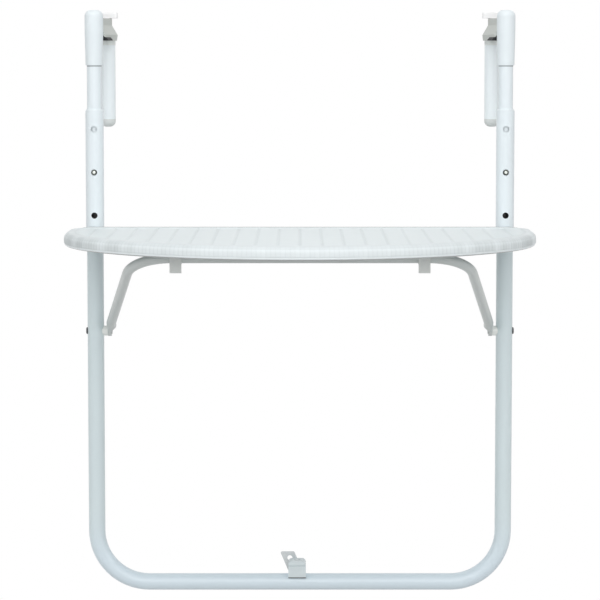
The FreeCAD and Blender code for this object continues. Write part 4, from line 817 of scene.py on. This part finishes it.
def plan_edge(count):
    """The plan's edge as count evenly spaced points with the outward direction at each: straight runs keep
    one direction, and arcs turn it evenly about their centres. A line is given by its ends and its
    direction's angle, and an arc by its centre, radius and two angles."""
    touch = math.atan2(FRONT_CENTRE - SHOULDER_CENTRE, SHOULDER_SIDE)
    corner_x, corner_y = TOP_HALF - BACK_CORNER, TOP_BACK - BACK_CORNER
    runs = [
        ("line", (0, TOP_BACK), (-corner_x, TOP_BACK), math.pi / 2),
        ("arc", (-corner_x, corner_y), BACK_CORNER, (math.pi / 2, math.pi)),
        ("line", (-TOP_HALF, corner_y), (-TOP_HALF, SHOULDER_CENTRE), math.pi),
        ("arc", (-SHOULDER_SIDE, SHOULDER_CENTRE), SHOULDER_RADIUS, (math.pi, math.pi + touch)),
        ("arc", (0, FRONT_CENTRE), FRONT_RADIUS, (math.pi + touch, 2 * math.pi - touch)),
        ("arc", (SHOULDER_SIDE, SHOULDER_CENTRE), SHOULDER_RADIUS, (2 * math.pi - touch, 2 * math.pi)),
        ("line", (TOP_HALF, SHOULDER_CENTRE), (TOP_HALF, corner_y), 2 * math.pi),
        ("arc", (corner_x, corner_y), BACK_CORNER, (2 * math.pi, 2.5 * math.pi)),
        ("line", (corner_x, TOP_BACK), (0, TOP_BACK), 2.5 * math.pi),
    ]
    lengths = [math.dist(a, b) if kind == "line" else arc_length(b, c) for kind, a, b, c in runs]
    ends = np.cumsum(lengths)
    spot = np.arange(count) * ends[-1] / count
    points = np.zeros((count, 2))
    turn = np.zeros(count)
    for (kind, first, second, third), length, end in zip(runs, lengths, ends):
        inside = (spot >= end - length) & (spot < end)
        share = (spot[inside] - end + length) / length
        if kind == "line":
            points[inside] = np.outer(1 - share, first) + np.outer(share, second)
            turn[inside] = third
        else:
            angle = third[0] + share * (third[1] - third[0])
            points[inside] = np.array(first) + second * np.stack([np.cos(angle), np.sin(angle)], axis=1)
            turn[inside] = angle
    return points, np.stack([np.cos(turn), np.sin(turn)], axis=1)


def rim_profile():
    """Inset and height of the rim's section and the share of the wraps' relief at each point: from inside
    the field's edge up to the flat, round the crest, down the face to the bead, and back inside the top."""
    bow = np.linspace(0, math.pi / 2, CREST_POINTS)
    crest_x, crest_z = CREST_CENTRE
    rows = [
        (0.0142, TOP_FACE - 0.0006, 0),
        (0.0136, TOP_FACE + 0.0003, 0.1),
        (0.0122, RIM_FLAT, 0.2),
        (0.0100, RIM_FLAT, 0.2),
    ]
    rows += [
        (crest_x - CREST_RADIUS * math.sin(a), crest_z + CREST_RADIUS * math.cos(a), 0.2 + 0.5 * a)
        for a in bow
    ]
    rows += [
        (-0.0004, TOP_FACE - 0.0085, 1),
        (-0.0004, TOP_FACE - 0.0098, 1),
        (-0.0004, TOP_FACE - 0.0111, 1),
        (-0.0004, TOP_FACE - 0.0123, 1),
        (-0.0002, TOP_FACE - 0.0130, 0.5),
        (0.0000, TOP_FACE - 0.0134, 0),
        (-0.0002, TOP_FACE - 0.0138, 0),
        (-0.0005, TOP_FACE - 0.0143, 0),
        (-0.0005, TOP_FACE - 0.0151, 0),
        (-0.0004, TOP_FACE - 0.0158, 0),
        (-0.0002, TOP_FACE - 0.0164, 0),
        (0.0002, TOP_FACE - 0.0169, 0),
        (0.0008, TOP_FACE - 0.0172, 0),
        (0.0026, TOP_FACE - 0.0172, 0.3),
        (0.0020, TOP_FACE - 0.0150, 0),
        (0.0015, TOP_FACE - 0.0085, 0),
        (0.0080, TOP_FACE - 0.0015, 0),
        (0.0136, TOP_FACE - 0.0012, 0),
    ]
    return np.array(rows)


def rim_points(edge, outward, crown, worn):
    """The section carried round the plan's edge. Each wrap swells along the section's own outward
    direction by a half-round crown, one wrap pitch wide, less where it is worn. Along the back, the flat
    rises to a lip with two slopes."""
    profile = rim_profile()
    inset, height, relief = profile.T
    run = np.roll(profile[:, :2], -1, axis=0) - np.roll(profile[:, :2], 1, axis=0)
    run /= np.linalg.norm(run, axis=1)[:, None]
    swell_out, swell_up = run[:, 1], run[:, 0]
    lift = WRAP_CROWN * (crown * worn)[:, None] * relief[None, :]
    rolled = roll_in(edge[:, 1][:, None], TOP_FACE - height[None, :])
    distance = -inset[None, :] - lift * swell_out[None, :] - rolled
    flat = edge[:, None, :] + outward[:, None, :] * distance[..., None]
    at_back = np.clip((edge[:, 1] - TOP_BACK + BACK_LINE) / BACK_LINE, 0, 1)[:, None]
    inner_slope = np.clip((LIP_INSETS[0] - inset) / LIP_SLOPE, 0, 1)
    outer_slope = np.clip((inset - LIP_INSETS[1]) / LIP_SLOPE, 0, 1)
    lip = BACK_LIP * inner_slope * outer_slope * (height > TOP_FACE - LIP_DEPTH)
    z = height[None, :] - lift * swell_up[None, :] + lip[None, :] * at_back
    return np.concatenate([flat, z[..., None]], axis=-1).reshape(-1, 3)


def rim_shade(edge, outward, crown, worn):
    """The shade at the rim's points: painted shade in the grooves, a random stain on each wrap and wider
    bunches of them at the ends, and painted shade where the rim faces sideways. The face and the crest have
    painted shade of their own, which leaves the bead below lighter as painted light."""
    height, relief = rim_profile().T[1:]
    wraps = len(edge) // WRAP_SAMPLES
    stained = np.random.default_rng(STAIN_SEED).random(wraps)
    wrap = np.arange(len(edge)) // WRAP_SAMPLES
    along = np.arange(len(edge)) / WRAP_SAMPLES / BUNCH_WRAPS
    bunched = np.interp(along, np.arange(wraps), stained) - BUNCH_LEVEL
    grooves = (1 - crown) ** 2 * GROOVE_SHADE
    stain = FACE_SHADE + (grooves + stained[wrap] * STAIN_SHADE) * worn
    stain += bunched * towards_ends(edge[:, 0], BUNCH_RISE) * BUNCH_SHADE
    stain += SIDE_SHADE * np.abs(outward[:, 0]) ** SIDE_POWER
    crest = CREST_SHADE * (height > TOP_FACE - CREST_DEPTH)
    return np.clip(stain[:, None] * relief[None, :] + crest[None, :], 0, 1).ravel()


# A whole number of wraps goes round, each with the same count of points across it.
ring_points = round(RIM_LENGTH / WRAP_PITCH) * WRAP_SAMPLES
edge, outward = plan_edge(ring_points)
across_wrap = (np.arange(ring_points) % WRAP_SAMPLES) / WRAP_SAMPLES
crown = np.sqrt(np.clip(1 - (2 * across_wrap - 1) ** 2, 0, 1))
worn = WORN_RELIEF + (1 - WORN_RELIEF) * towards_ends(edge[:, 0], WORN_RISE)

# Painted shade darkens the back lip's inner slope, as a shadow line along the back, and the bead's lower
# edge under the rim.
rim_finish = cane_look("wrap_moulding", WRAP_LIGHT, WRAP_DARK, 0.0)
deep, up = rim_finish.axes()[1:]
back_shaded = (deep > TOP_BACK - BACK_SHADE_INSETS[0]) * (up > RIM_FLAT) * (deep < TOP_BACK - BACK_SHADE_INSETS[1])
rim_finish.patch(back_shaded, BACK_SHADE_COLOUR)
rim_finish.patch(up < TOP_FACE - LOWER_SHADE_DEPTH, LOWER_SHADE_COLOUR)
rim_faces = grid_faces(ring_points, len(rim_profile()), True, True).tolist()
rim_shape = rim_points(edge, outward, crown, worn)
rim = mesh_object("wrapped_rim", rim_shape, rim_faces, rim_finish, rim_shade(edge, outward, crown, worn))
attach(rim, "tabletop")
